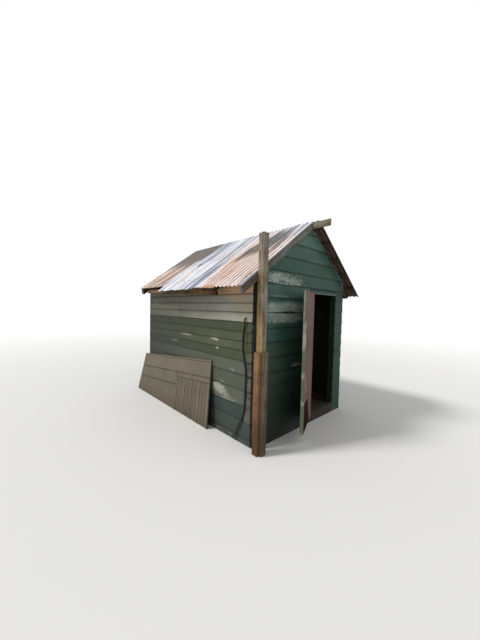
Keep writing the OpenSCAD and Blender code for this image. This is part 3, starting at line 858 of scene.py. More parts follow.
def front_wear(points):
    """Where paint has gone from the front boards."""
    x, z = points[:, 0], points[:, 2]
    left = spots(x, z, [
        (-0.55, 1.832, 0.58, 0.072, 0.62), (-0.55, 1.755, 0.60, 0.028, 0.44),
        (-0.55, 1.672, 0.60, 0.048, 0.70), (-0.55, 1.742, 0.60, 0.020, 0.40),
        (-0.66, 1.975, 0.36, 0.012, 0.46), (-0.85, 1.99, 0.12, 0.016, 0.20),
        (-0.62, 2.215, 0.46, 0.090, 0.46), (-0.78, 2.22, 0.20, 0.07, 0.10),
        (-0.52, 2.150, 0.30, 0.018, 0.48), (-0.27, 0.978, 0.12, 0.022, 0.62),
        (-0.3, 0.04, 0.8, 0.06, 0.26),
    ])
    right = spots(x, z, [
        (1.115, 0.95, 0.018, 0.55, 0.45), (1.0, 1.2, 0.12, 0.16, 0.12),
        (0.9, 0.04, 0.3, 0.06, 0.26), (1.115, 2.15, 0.02, 0.12, 0.3),
    ])
    # A pale line of bare edge along two lengths of the right slope of the gable
    edge = GABLE_REACH + (GABLE_BASE - z) / TAN_P - x
    slope_line = 0.6 * (edge < 0.03) * (z > 2.2) * ((x < 0.38) | (x > 0.70))
    return 0.04 + np.where(x < 0.1, left, right + slope_line)


def front_painted_light_and_shade(points):
    """Painted shade on the front boards, low down and right of the doorway, and painted
    bounce light.
    """
    x, z = points[:, 0], points[:, 2]
    # Painted shade: low on the left, in the open door's shadow, and on the strip right of the
    # doorway
    left = np.interp(z, [0.1, 0.35, 0.7, 1.1], [1.0, 0.78, 0.36, 0.0])
    right = np.interp(z, [0.1, 0.8, 2.0, 2.3], [0.40, 0.46, 0.60, 0.0])
    damp_and_painted_shade = np.where(x > 0.8, right, left) * (z < 2.3)
    # Painted light: the boards behind the open door take a warm brown tint, light bounced
    # off the ground
    painted_bounce_light = np.where(x < 0.8, np.interp(z, [1.30, 1.55], [0.80, 0.0]), 0.0)
    return np.stack([painted_bounce_light, damp_and_painted_shade, z * 0], -1)


def plain_wear(run, low, high):
    """Scattered wear for walls that are out of sight, heavier near the ground and the ends."""
    def worn(points):
        r, z = points[:, run], points[:, 2]
        ends = np.exp(-((r - low) / 0.08) ** 2) + np.exp(-((r - high) / 0.08) ** 2)
        return 0.05 + 0.25 * np.exp(-(z / 0.15) ** 2) + 0.18 * ends + spots(r, z, [
            (-0.9, 1.75, 0.5, 0.06, 0.45), (0.5, 1.35, 0.4, 0.05, 0.38),
            (0.9, 0.62, 0.35, 0.05, 0.42), (-0.4, 0.48, 0.3, 0.04, 0.4),
            (0.1, 2.25, 0.4, 0.06, 0.4),
        ])
    return worn


def slope_limit(z, least=0.0):
    """Half width of a gable at a height, under the roof strapping."""
    return max(least, min(WALL_REACH, GABLE_REACH + (GABLE_BASE - z) / TAN_P) - 0.001)


def slope_ends(bottom, least=0.0):
    """Both ends of a gable board, at a distance up it from its lower edge."""
    return lambda a: -slope_limit(bottom + a, least), lambda a: slope_limit(bottom + a, least)


class HUT_OT_front_wall(HutStep):
    """Green lapped boards beside the doorway and in the front gable"""

    bl_idname = "hut.front_wall"
    bl_label = "Front wall boards"

    def execute(self, context):
        hues = colours()
        green = green_paint()
        # Painted shade: the boards right of the doorway take a darker copy of the green
        deep_and_painted_shade = peeling_paint("Oil paint, deep green", "#1a4632", "#2f644e",
                             hues.undercoat, hues.bare_board)
        opening = []
        for side, seed, paint in (("left", 21, green), ("right", 22, deep_and_painted_shade)):
            low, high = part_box("front_siding_" + side)
            opening.append(high.x if side == "left" else low.x)
            pieces = Pieces(seed)
            for bottom, _, section, painted_shade in courses(FRONT_LAPS + GABLE_LAPS[:1], capped=False):
                # Painted light: higher boards are painted lighter and more faded, out of the open
                # door's shadow
                painted_light_tone = np.interp(bottom, [0.9, 1.3, 1.6], [0.12, 0.50, 0.55])
                pieces.sweep(
                    (0, high.y, bottom), ON_FRONT, section, (low.x, high.x), 0, painted_shade,
                    front_wear, front_painted_light_and_shade,
                    painted_light_tone if side == "left" else pieces.rng.uniform(0.0, 0.2),
                    sway=sizes().wander, bow=BOARD_BOW, rough_end=(0.002, 0.002),
                )
            pieces.make("front_boards_" + side, [paint], "green_boards", "front_siding_" + side)

        gable = Pieces(23)
        # The board over the doorway fills in between the strip and the first gable board
        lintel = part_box("gable_siding")[0].z
        section, painted_shade = lap_section(GABLE_LAPS[0] - lintel)
        gable.sweep((0, high.y, lintel), ON_FRONT, section,
                    (opening[0] + 0.001, opening[1] - 0.001), 0, painted_shade, front_wear, tone=0.1,
                    sway=0.0005)
        for bottom, _, section, painted_shade in courses(GABLE_LAPS + [GABLE_PEAK]):
            gable.sweep((0, high.y, bottom), ON_FRONT, section, slope_ends(bottom), 0, painted_shade,
                        front_wear, tone=(bottom - GABLE_LAPS[0]) / 0.8, bow=BOARD_BOW)
        # Short ends of the top board on either side of the ridge board
        for side in (-1, 1):
            gable.sweep(
                (0, high.y, GABLE_PEAK + 0.001), (side * X, Z, -Y),
                plank_section(0.05, 0.0125, 0.001),
                (0.0195, lambda a: slope_limit(GABLE_PEAK + a, 0.02)), 0, 0.1, front_wear,
                step=0.03,
            )
        gable.make("gable_boards", [green], "green_boards", "gable_siding")
        return {"FINISHED"}


class HUT_OT_right_wall(HutStep):
    """Green lapped boards of the right wall"""

    bl_idname = "hut.right_wall"
    bl_label = "Right wall boards"

    def execute(self, context):
        low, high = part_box("right_siding")
        pieces = Pieces(31)
        for row, (bottom, _, section, painted_shade) in enumerate(courses(FRONT_LAPS + [high.z])):
            # The joint of each row stands away from the joints above and below it
            cut = low.y + (0.62 if row % 2 else 1.85)
            for ends in ((low.y, cut), (cut + 0.003, high.y)):
                pieces.sweep(
                    (low.x, 0, bottom), ON_RIGHT, section, ends, 0, painted_shade,
                    plain_wear(1, low.y, high.y), tone=pieces.rng.uniform(0.0, 0.45),
                    sway=sizes().wander, bow=BOARD_BOW, rough_end=(0.002, 0.002),
                )
        pieces.make("right_wall_boards", [green_paint()], "green_boards", "right_siding")
        return {"FINISHED"}


class HUT_OT_rear_wall(HutStep):
    """Green lapped boards of the rear wall and its gable"""

    bl_idname = "hut.rear_wall"
    bl_label = "Rear wall boards"

    def execute(self, context):
        low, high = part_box("rear_siding")
        pieces = Pieces(41)
        for bottom, above, section, painted_shade in courses(FRONT_LAPS + GABLE_LAPS + [high.z - 0.012]):
            pieces.sweep((0, low.y, bottom), ON_REAR, section, slope_ends(bottom, 0.004), 0,
                         painted_shade, plain_wear(0, low.x, high.x), tone=pieces.rng.uniform(0, 0.45),
                         sway=sizes().wander * (above < GABLE_LAPS[1]), bow=BOARD_BOW)
        pieces.make("rear_wall_boards", [green_paint()], "green_boards", "rear_siding")
        return {"FINISHED"}


# Framing, floor and doorway

class HUT_OT_framing(HutStep):
    """Finish of the framing lumber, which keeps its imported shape"""

    bl_idname = "hut.framing"
    bl_label = "Framing lumber"

    def execute(self, context):
        # The framing colour is painted dark: painted shade of the hut's inside
        lumber = colours().lumber
        for name, light, dark, stretch, turn, nodes in (
            ("Sawn spruce, upright", lumber, "#352820", (150, 150, 6), None,
             ("left_studs", "right_studs", "front_studs", "rear_studs", "gable_posts")),
            ("Sawn spruce, lengthways", lumber, "#352820", (150, 6, 150), None,
             ("sill_plates", "top_plates", "purlins")),
            ("Sawn spruce, sloping", lumber, "#352820", (6, 150, 150), PITCH, ("rafters",)),
            ("Damp hewn skids", "#5b5146", "#2a241d", (120, 5, 120), None, ("skids",)),
        ):
            refinish(weathered_wood(name, light, dark, stretch, packed=True, turn=turn), *nodes)
        return {"FINISHED"}


class HUT_OT_floor(HutStep):
    """Floor planks and the worn sill plank in the doorway"""

    bl_idname = "hut.floor"
    bl_label = "Floor and sill"

    def execute(self, context):
        wood = weathered_wood("Worn floor planks", colours().floor_board, "#2b241c")
        low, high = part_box("floor")
        top = high.z
        wide = sizes().floor_plank
        pieces = Pieces(51)
        for y in np.arange(low.y, high.y - 0.02, wide):
            width = min(wide, high.y - y) - PLANK_GAP
            pieces.sweep((0, y, low.z), ON_FLOOR, plank_section(width, top - low.z, 0.002),
                         (low.x, high.x), 0, 0.1, step=0.25, bow=0.0003)
        pieces.make("floor_planks", [wood], "grey_boards", "floor")

        low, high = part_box("threshold")
        ends = (low.x + 0.001, high.x - 0.001)
        middle = low.y + 0.055
        sill = Pieces(52)
        for front, back, rise in ((low.y, middle, 0.0), (middle + 0.002, high.y, -0.001)):
            sill.sweep((0, front, top + 0.0002), ON_FLOOR,
                       plank_section(back - front, high.z - top + rise, 0.004), ends, 0, 0.15,
                       step=0.04, sway=0.0006, bow=0.0004)
        sill.sweep((0, low.y + 0.0195, low.z), ON_FRONT,
                   plank_section(top - low.z, 0.019, 0.002), ends, 0, 0.2, step=0.04,
                   sway=0.0006)
        sill.make("sill_planks", [wood], "grey_boards", "threshold")
        return {"FINISHED"}


class HUT_OT_doorway(HutStep):
    """Lining boards of the doorway, and the grey strip over it"""

    bl_idname = "hut.doorway"
    bl_label = "Doorway boards"

    def execute(self, context):
        hues = colours()
        # Painted shade: the jamb boards are painted a very dark green for the shade in the
        # doorway
        jamb_green_in_painted_shade, strip = (
            peeling_paint(name, paint, faded, primer, hues.bare_board)
            for name, paint, faded, primer in (
                ("Oil paint, dark green", "#19291f", "#20352c", hues.undercoat),
                ("House paint, grey green", hues.strip_grey, "#29403a", "#7f8780"),
            )
        )
        for side, seed, face in (("left", 61, -1), ("right", 62, 1)):
            low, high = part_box(side + "_jamb")
            pieces = Pieces(seed)
            pieces.sweep(
                (high.x if face > 0 else low.x, low.y, 0), (Z, Y, -face * X),
                plank_section(high.y - low.y, high.x - low.x, 0.002), (low.z, high.z), 0, 0.05,
                lambda p: 0.02 + 0.1 * np.exp(-((p[:, 2] - 0.13) / 0.1) ** 2), step=0.06,
                rough_end=(0.002, 0.0),
            )
            pieces.make(side + "_jamb_board", [jamb_green_in_painted_shade], "green_boards", side + "_jamb")

        lumber = weathered_wood("Sawn spruce, lintel", hues.lumber, "#4a3a28")
        low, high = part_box("door_header")
        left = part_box("front_siding_left")[1]
        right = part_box("front_siding_right")[0]
        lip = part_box("gable_siding")[0].z - low.z
        head = Pieces(63)
        head.sweep((0, high.y, low.z), ON_FRONT,
                   plank_section(high.z - low.z, high.y - left.y, 0.002), (low.x, high.x), 0,
                   0.05, step=0.1)
        head.sweep((0, left.y, low.z), ON_FRONT, plank_section(lip, left.y - low.y, 0.002),
                   (left.x + 0.001, right.x - 0.001), 1, 0.0,
                   lambda p: 0.05 + 0.6 * (p[:, 2] < low.z + 0.006), step=0.05, sway=0.0012)
        head.make("door_head_boards", [lumber, strip], "grey_boards", "door_header")
        return {"FINISHED"}


# Door

def leaf_place(points):
    """How far points lie along the door leaf, how far into it, and how high."""
    return (points - LEAF_PIN) @ LEAF_U, (points - LEAF_PIN) @ LEAF_V, points[:, 2]


def outer_wear(points):
    """Where paint has gone from the door's outside: at its foot and along its free edge."""
    along, _, z = leaf_place(points)
    return (0.07 + 0.3 * np.exp(-((along - LEAF_EDGE) / 0.03) ** 2)
            + 0.35 * np.exp(-((z - LEAF_FOOT) / 0.12) ** 2)
            + spots(along, z, [(0.4, 1.72, 0.4, 0.06, 0.5), (0.5, 0.9, 0.2, 0.05, 0.3)]))


def edge_wear(points):
    """Where paint has gone from the door's free edge, more of it on the outer half."""
    _, depth, z = leaf_place(points)
    return (0.10 + 0.45 * np.exp(-((z - LEAF_FOOT) / 0.06) ** 2)
            + spots(z, z * 0, [(0.95, 0, 0.05, 1, 0.30), (1.53, 0, 0.11, 1, 0.62),
                               (1.36, 0, 0.08, 1, 0.34), (0.6, 0, 0.05, 1, 0.3)])
            + np.clip((0.034 - depth) / 0.02, 0, 1)
            * spots(z, z * 0, [(1.95, 0, 0.12, 1, 0.45), (1.75, 0, 0.09, 1, 0.40)]))


class HUT_OT_door(HutStep):
    """Door leaf: green lapped boards outside, a painted core and a rotted pinkish lining"""

    bl_idname = "hut.door"
    bl_label = "Door leaf"

    def execute(self, context):
        hues = colours()
        u, v = LEAF_U, LEAF_V
        stile = LEAF_EDGE - STILE_WIDE
        outer = Pieces(71)
        middle_laps = [z for z in FRONT_LAPS if LEAF_FOOT + 0.03 < z < LEAF_HEAD]
        laps = [LEAF_FOOT, *middle_laps, LEAF_HEAD]
        for bottom, _, section, painted_shade in courses(laps, DOOR_BOARDS):
            outer.sweep(LEAF_PIN + v * BOARDS_BACK + bottom * Z, (u, Z, -v),
                        np.maximum(section, 0), (LEAF_HINGE, stile - 0.0005), 0, painted_shade,
                        outer_wear, step=0.06, sway=0.0008, rough_end=(0.001, 0.002))
        outer.make("door_outer_boards", [green_paint()], "green_boards", "door_siding",
                   body=LEAF)

        # The core shows its painted edge, and dark rot where the lining is gone
        edge_paint = peeling_paint(
            "Oil paint, door edge", hues.door_edge, "#666c53", "#c2bda8", "#8d7560")
        rot = weathered_wood("Rotted pine", "#3a1d10", "#1a0c06", knots=0.2, sheen=0.02)
        core = Pieces(72)
        core.sweep(LEAF_PIN + u * stile + v * (LINING_FACE - STILE_DEEP), (Z, u, v),
                   plank_section(STILE_WIDE, STILE_DEEP, 0.002),
                   (LEAF_FOOT + 0.008, LEAF_HEAD), 0, 0.0, edge_wear, step=0.03, sway=0.0008,
                   rough_end=(0.007, 0.001))
        # The boards end a little above the leaf's foot, so their ragged ends clear the sill
        for left, right, foot in ((LEAF_HINGE, 0.20, 0.008), (0.202, 0.40, 0.010),
                                  (0.402, 0.60, 0.014), (0.602, stile - 0.001, 0.020)):
            core.sweep(LEAF_PIN + u * left + v * CORE_FACE, (Z, u, v),
                       plank_section(right - left, CORE_THICK, 0.002),
                       (LEAF_FOOT + foot, LEAF_HEAD - 0.001), 1, 0.1, step=0.05,
                       rough_end=(0.007, 0.0))
        core.make("door_core_boards", [edge_paint, rot], "door_edge", "door_core", body=LEAF)

        # The lining reaches to the free edge, but rot has eaten its lower part
        lining = Pieces(73)
        heights = np.concatenate([np.linspace(LEAF_FOOT, 0.70, 64),
                                  np.linspace(0.75, LEAF_HEAD, 28)])
        reach = np.interp(heights, [LEAF_FOOT, 0.30, 0.45, 0.560, 0.590, 0.600],
                          [0.20, 0.28, 0.37, 0.42, 0.62, 0.790])
        reach += np.where(heights < 0.65, lining.rng.normal(0, 0.008, len(heights)), 0.0)
        across = np.linspace(0, 1, 14)
        us, zs, near_edge = np.broadcast_arrays(
            LEAF_HINGE + (reach[:, None] - LEAF_HINGE) * across, heights[:, None],
            across > 0.93)
        curl = 0.0016 * across ** 4 * np.exp(-((zs - 0.7) / 0.3) ** 2)
        points = [
            (LEAF_PIN + us[..., None] * u + depth[..., None] * v + zs[..., None] * Z)
            for depth in (0 * curl + LINING_FACE, curl + LINING_BACK)
        ]
        uu, zz, near_edge = (np.tile(part.ravel(), 2) for part in (us, zs, near_edge))
        worn = (0.06 + 0.3 * near_edge + 0.25 * np.exp(-((zz - LEAF_FOOT) / 0.25) ** 2)
                + spots(uu, zz, [(0.74, 0.85, 0.05, 0.15, 0.3), (0.5, 1.5, 0.2, 0.3, 0.15)]))
        middle = np.exp(-((zz - 1.35) / 0.30) ** 2)
        brown = np.stack([middle * (0.5 + 0.6 * (uu > 0.60)), 0.30 * middle, 0 * zz], -1)
        lining.keep(np.reshape(points, (-1, 3)), slab(*us.shape)[0], worn=worn, stain_and_painted_light=brown,
                    grain=np.stack([zz, uu, 0 * zz], -1))
        pink = peeling_paint("Stained fir lining", hues.lining, "#65443a", "#8f776b", hues.rot,
                             stain_and_painted_light="#54241a")
        lining.make("door_lining_sheet", [pink], "door_inside", "door_lining", body=LEAF)
        return {"FINISHED"}


class HUT_OT_ironwork(HutStep):
    """Finish of the hinges, hasp and staple, and their screws"""

    bl_idname = "hut.ironwork"
    bl_label = "Ironwork"

    def execute(self, context):
        iron = bare_iron()
        refinish(iron, "hinge_plates", "door_straps", "door_staple")
        refinish(rusted_iron("Mild steel under old paint", "#151b18", "#241f1a", 0.0), "hasp")
        radius = sizes().screw
        # Screws stand in each plate at these distances from its pin, middle or edge
        wall = Pieces(81)
        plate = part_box("front_siding_left")[0].y - 0.003
        for z, dx, dz in product(HINGE_HEIGHTS, (-0.037, -0.022), (-0.034, 0.0, 0.034)):
            wall.disc((LEAF_PIN[0] + dx, plate, z + dz), -Y, radius, 0.0018)
        low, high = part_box("hasp")
        for dx, dz in product((0.060, 0.086), (-0.020, 0.020)):
            wall.disc((low.x + dx, low.y, (low.z + high.z) / 2 + dz), -Y, radius * 0.8, 0.0012)
        wall.make("wall_screws", [iron], "dark_iron")

        leaf = Pieces(82)
        strap = LEAF_PIN + LEAF_V * IRON_FACE
        for z, along in product(HINGE_HEIGHTS, (0.045, 0.11, 0.18, 0.26, 0.288)):
            leaf.disc(strap + LEAF_U * along + z * Z, -LEAF_V, radius, 0.0018)
        staple = strap + LEAF_U * (LEAF_EDGE - 0.095) + STAPLE_HEIGHT * Z
        for du, dz in product((-0.017, 0.017), repeat=2):
            leaf.disc(staple + LEAF_U * du + dz * Z, -LEAF_V, radius * 0.8, 0.0015)
        leaf.make("leaf_screws", [iron], "dark_iron", body=LEAF)
        return {"FINISHED"}


# Roof

class Slope:
    """One side of the roof: u runs down it from the ridge line, w stands off it."""

    def __init__(self, side):
        low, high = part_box("left_sheet_1")
        self.side = side
        self.level = high.z - RIDGE_LAP * SIN_P - SHEET_DEPTH * COS_P
        self.down = side * COS_P * X - SIN_P * Z
        self.off = side * SIN_P * X + COS_P * Z
        self.end = (-low.x - SHEET_DEPTH * SIN_P) / COS_P

    def place(self, u, y, w):
        u, y, w = (part[..., None] for part in np.broadcast_arrays(u, y, w))
        return u * self.down + w * self.off + y * Y + self.level * Z


def left_roof_stain(u, y):
    """Orange rust, rosy rust and dark soiling on the left slope, as three soft masks."""
    # The rear sheets have rusted all over, up to a bent line, and are darkest at the ridge
    line = np.interp(u, [0.0, 0.5, 0.77, 1.0, 1.33, 1.7], [0.49, 0.48, 0.56, 0.63, 0.66, 0.58])
    rear = np.clip((y - line) / 0.05 + 0.5, 0, 1)
    lower = np.clip((u - 0.45) / 0.60, 0, 1)
    rust = rear * (0.08 + 0.30 * lower) + spots(y, u, [
        (-0.90, 1.45, 0.24, 0.32, 0.46), (-0.95, 1.76, 0.45, 0.06, 0.45),
        (-0.73, 1.05, 0.05, 0.24, 0.55), (-0.86, 0.72, 0.05, 0.22, 0.50),
        (-0.93, 0.45, 0.05, 0.16, 0.40), (-1.45, 1.6, 0.08, 0.3, 0.25),
        (0.25, 0.93, 0.08, 0.05, 0.95),
    ])
    rosy = rear * 0.85 + spots(y, u, [
        (-1.30, 0.9, 0.34, 1.4, 0.75), (-0.85, 0.9, 0.26, 1.2, 0.70),
        (-1.20, 0.30, 0.28, 0.40, -0.60), (0.22, 1.30, 0.07, 0.40, 0.75),
        (-0.10, 1.0, 0.05, 0.9, 0.50), (-0.5, 0.7, 0.06, 0.6, 0.35),
        (0.45, 1.2, 0.05, 0.5, 0.30),
    ])
    grime_and_painted_shade = rear * (0.38 + 0.60 * (1 - lower)) + spots(y, u, [
        (-0.34, 1.10, 0.030, 0.75, 0.66), (-0.25, 0.45, 0.03, 0.25, 0.40),
        (0.22, 1.55, 0.018, 0.25, 0.50), (0.25, 0.93, 0.07, 0.045, 0.95),
        (-1.17, 0.42, 0.27, 0.43, 0.74), (-1.07, 0.9, 0.03, 1.2, 0.34),
        (-0.88, 0.82, 0.15, 0.34, 0.56), (-1.42, 0.84, 0.18, 0.22, 0.20),
        (-0.78, 0.85, 0.03, 0.35, 0.34), (0.60, 0.9, 0.02, 1.0, 0.30),
    ])
    return np.stack([rust, rosy, grime_and_painted_shade], -1)


def right_roof_stain(u, y):
    """The same kind of rust on the right slope, laid out differently."""
    return np.stack([spots(y, u, marks) for marks in (
        [(-1.30, 1.5, 0.30, 0.4, 0.5), (0.1, 1.2, 0.35, 0.7, 0.5),
         (1.3, 1.45, 0.3, 0.5, 0.6), (0.75, 0.4, 0.2, 0.6, 0.35)],
        [(-1.0, 0.8, 0.5, 1.3, 0.9), (0.6, 1.0, 0.5, 1.3, 0.8)],
        [(-0.55, 0.9, 0.03, 1.4, 0.4), (0.43, 0.8, 0.03, 1.4, 0.35),
         (1.4, 0.3, 0.4, 0.4, 0.35), (-1.45, 0.2, 0.3, 0.3, 0.3)],
    )], -1)


def corrugated_sheet(pieces, slope, start, end, top, bottom, stain_and_painted_light):
    """One corrugated sheet with a lapped far edge, bent a little along its eave."""
    rng = pieces.rng
    width = end - start
    pitch = width / SHEET_WAVES
    across = np.linspace(0, width + pitch * SHEET_LAP, SHEET_WAVES * 10 + 3)
    # Rows of points lie a little closer towards the eave, where the sheet is bent
    down = np.linspace(0, 1, 34) ** 0.85
    skew = rng.normal(0, 0.004)
    nibble = drift(rng, 0.004, 0.3, 0.05)(across + start)
    first = top + rng.normal(0, 0.002) + 0.3 * nibble
    last = bottom - 0.004 + nibble + skew * (across / width)
    u = first + (last - first) * down[:, None]
    y = np.broadcast_to(start + across, u.shape)
    bend = sizes().sheet_bend
    near_eave = np.clip((u - slope.end + 0.30) / 0.30, 0, 1) ** 2
    sag = near_eave * (drift(rng, bend, 0.9, 0.25)(y) - bend * 0.4)
    dent = drift(rng, 0.0012, 0.8, 0.2)(u) * drift(rng, 1.0, 0.7, 0.2)(y)
    ridge = 0.5 - 0.5 * np.cos(2 * math.pi * (across / pitch - 0.1))
    near_lap = np.where(across > width - 0.002, 0.002, 0.0)
    w = (SHEET_DEPTH - SHEET_METAL) * ridge + SHEET_METAL + near_lap + sag + dent
    points = [slope.place(u, y, w - metal) for metal in (0.0, SHEET_METAL)]
    faces, cells = slab(*u.shape, flip=slope.side < 0)
    # Valleys carry soiling and painted shade; towards the eave they are painted lighter, a
    # painted highlight where the sun strikes the eave
    valley = (1 - ridge) ** 2.0 * (1 - 0.45 * near_eave)
    grain = np.tile(np.stack([u, y, 0 * u], -1).reshape(-1, 3), (2, 1))
    grain = grain + rng.uniform(-30, 30, 3)
    pieces.keep(
        np.reshape(points, (-1, 3)), faces, [0] * (len(faces) - cells) + [1] * cells,
        rng.uniform(0, 1), np.tile(valley.ravel(), 2),
        stain_and_painted_light=np.tile(stain_and_painted_light(u.ravel(), y.ravel()), (2, 1)), grain=grain,
    )


class HUT_OT_roof_sheets(HutStep):
    """Corrugated galvanised sheets on both slopes"""

    bl_idname = "hut.roof_sheets"
    bl_label = "Roof sheets"

    def execute(self, context):
        steel = [
            galvanised_sheet("Galvanised steel, rusting"),
            # Painted shade: the undersides of the sheets are rust brown, painted dark for the
            # shade under the roof
            rusted_iron("Galvanised steel, rusted underside_in_painted_shade", "#43362c", "#66452f", 0.0),
        ]
        left, right = Slope(-1), Slope(1)
        for index in range(1, SHEETS + 1):
            name = f"left_sheet_{index}"
            low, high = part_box(name)
            short = index > LONG_SHEETS
            pieces = Pieces(90 + index)
            corrugated_sheet(pieces, left, low.y, high.y, -RIDGE_LAP,
                             left.end - SHORT_CUT * short, left_roof_stain)
            pieces.make(f"roof_sheet_left_{index}", steel,
                        "rusty_sheets" if short else "bare_sheets", name)
        low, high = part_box("right_sheets")
        pieces = Pieces(97)
        width = (high.y - low.y + 0.001) / SHEETS
        top = SHEET_DEPTH / math.tan(2 * PITCH) + 0.001
        for start in low.y + width * np.arange(SHEETS):
            corrugated_sheet(pieces, right, start, start + width - 0.001, top, right.end,
                             right_roof_stain)
        pieces.make("roof_sheets_right", steel, "bare_sheets", "right_sheets")
        return {"FINISHED"}


class HUT_OT_roof_nails(HutStep):
    """Nails with washers through the crests of the roof sheets"""

    bl_idname = "hut.roof_nails"
    bl_label = "Roof nails"

    def execute(self, context):
        radius = sizes().roof_nail
        nails = Pieces(101)
        rows = [(-1, f"left_sheet_{index}", 1) for index in range(1, SHEETS + 1)]
        for side, name, sheets in rows + [(1, "right_sheets", SHEETS)]:
            slope = Slope(side)
            low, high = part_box(name)
            width = (high.y - low.y) / sheets
            for sheet, crest, row in product(range(sheets), (0, 2, 4, 6), range(STRAPS)):
                y = low.y + width * (sheet + (crest + 0.6) / SHEET_WAVES)
                u = FIRST_STRAP + row * STRAP_STEP + nails.rng.normal(0, 0.006)
                washer = slope.place(u, y, SHEET_DEPTH + 0.0006)
                nails.disc(washer, slope.off, radius, 0.002, 0.75)
                nails.disc(washer + slope.off * 0.0015, slope.off, radius * 0.55, 0.0035, 0.6)
        nails.make("roof_nails", [bare_iron()], "dark_iron")
        return {"FINISHED"}


class HUT_OT_roof_timbers(HutStep):
    """Ridge board, barge boards and fascia boards"""

    bl_idname = "hut.roof_timbers"
    bl_label = "Roof timbers"

    def execute(self, context):
        hues = colours()
        ridge_wood = weathered_wood("Pine, khaki brown", hues.ridge, "#4b4430")
        low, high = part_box("ridge_board")
        ridge = Pieces(111)
        ridge.sweep((low.x, 0, low.z), ON_RIGHT,
                    plank_section(high.z - low.z, high.x - low.x), (low.y, high.y), step=0.1,
                    sway=0.0007, rough_end=(0.004, 0.0))
        ridge.make("ridge_timber", [ridge_wood], "bare_lumber", "ridge_board")

        barge_wood = weathered_wood("Spruce, silver grey", hues.barge, "#3a3833",
                                    other="#766b5c")
        for name, node, seed, sides in (("front_barge_board", "front_barge", 112, (-1,)),
                                        ("rear_barge_boards", "rear_barges", 113, (-1, 1))):
            low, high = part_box(node)
            pieces = Pieces(seed)
            for side in sides:
                slope = Slope(side)
                inner = -high.x if high.x < 0 else 0.0006
                outer = -low.x if side < 0 else high.x
                # Across runs up off the slope, so a plumb cut moves with it
                pieces.sweep(
                    slope.place(0.0, low.y, -BARGE_DEPTH - 0.0002),
                    (slope.down, slope.off, Y), plank_section(BARGE_DEPTH, high.y - low.y),
                    [lambda a, x=x: (x - (a - BARGE_DEPTH) * SIN_P) / COS_P
                     for x in (inner, outer)],
                    0, 0.05, lambda p: np.interp(np.abs(p[:, 0]), [0.85, 1.15], [0.0, 1.0]),
                    step=0.06, sway=0.0008, rough_end=(0.0, 0.003),
                )
            pieces.make(name, [barge_wood], "bare_lumber", node)

        rotted = weathered_wood("Rotted pine, red brown", hues.fascia, "#24160e",
                                checks=0.9, other="#74461f")
        for side, seed, outward, bite in (("left", 114, -1, 0.009), ("right", 115, 1, 0.003)):
            low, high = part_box(side + "_fascia")
            pieces = Pieces(seed)
            pieces.sweep(
                (high.x if outward < 0 else low.x, 0, low.z + bite * 0.5), (Y, Z, outward * X),
                plank_section(high.z - low.z - bite * 0.5, high.x - low.x), (low.y, high.y), 0,
                0.1, lambda p: np.interp(p[:, 1], [-0.95, -0.70], [1.0, 0.0]), step=0.025,
                sway=0.0015, rough_end=(0.03, 0.004), nibble=bite,
            )
            if outward < 0:
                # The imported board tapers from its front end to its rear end
                board = pieces.points[0]
                part = np.clip((board[:, 1] - low.y) / (high.y - low.y), 0, 1)
                board[:, 2] = high.z - (high.z - board[:, 2]) * (1 + (ROTTED_END - 1) * part)
            pieces.make(side + "_fascia_board", [rotted], "rotted_boards", side + "_fascia")
        return {"FINISHED"}


# Corner post, panel and pipe

def timber(pieces, low, high, worn, ragged_top):
    """One upright square timber with eased corners and a few long drying cracks."""
    wide, deep_and_painted_shade = high.x - low.x, high.y - low.y
    corners = np.array([(0, 0), (wide, 0), (wide, deep_and_painted_shade), (0, deep_and_painted_shade)])
    section = []
    for here, there in zip(corners, np.roll(corners, -1, 0)):
        ease = 0.005 / np.abs(there - here).sum()
        section += [here + (there - here) * part for part in (ease, 0.3, 0.5, 0.7, 1 - ease)]
    section = np.array(section)
    # Each drying crack pulls one point of the section in by a few millimetres
    centre = np.array([wide / 2, deep_and_painted_shade / 2])
    for k in pieces.rng.choice([2, 7, 12, 17], 2, replace=False):
        section[k] += (centre - section[k]) / np.linalg.norm(centre - section[k]) * 0.004
    pieces.sweep((low.x, low.y, 0), (Z, X, Y), section, (low.z, high.z), worn=worn, step=0.045,
                 sway=0.0012, bow=0.001, rough_end=(0.0, ragged_top))


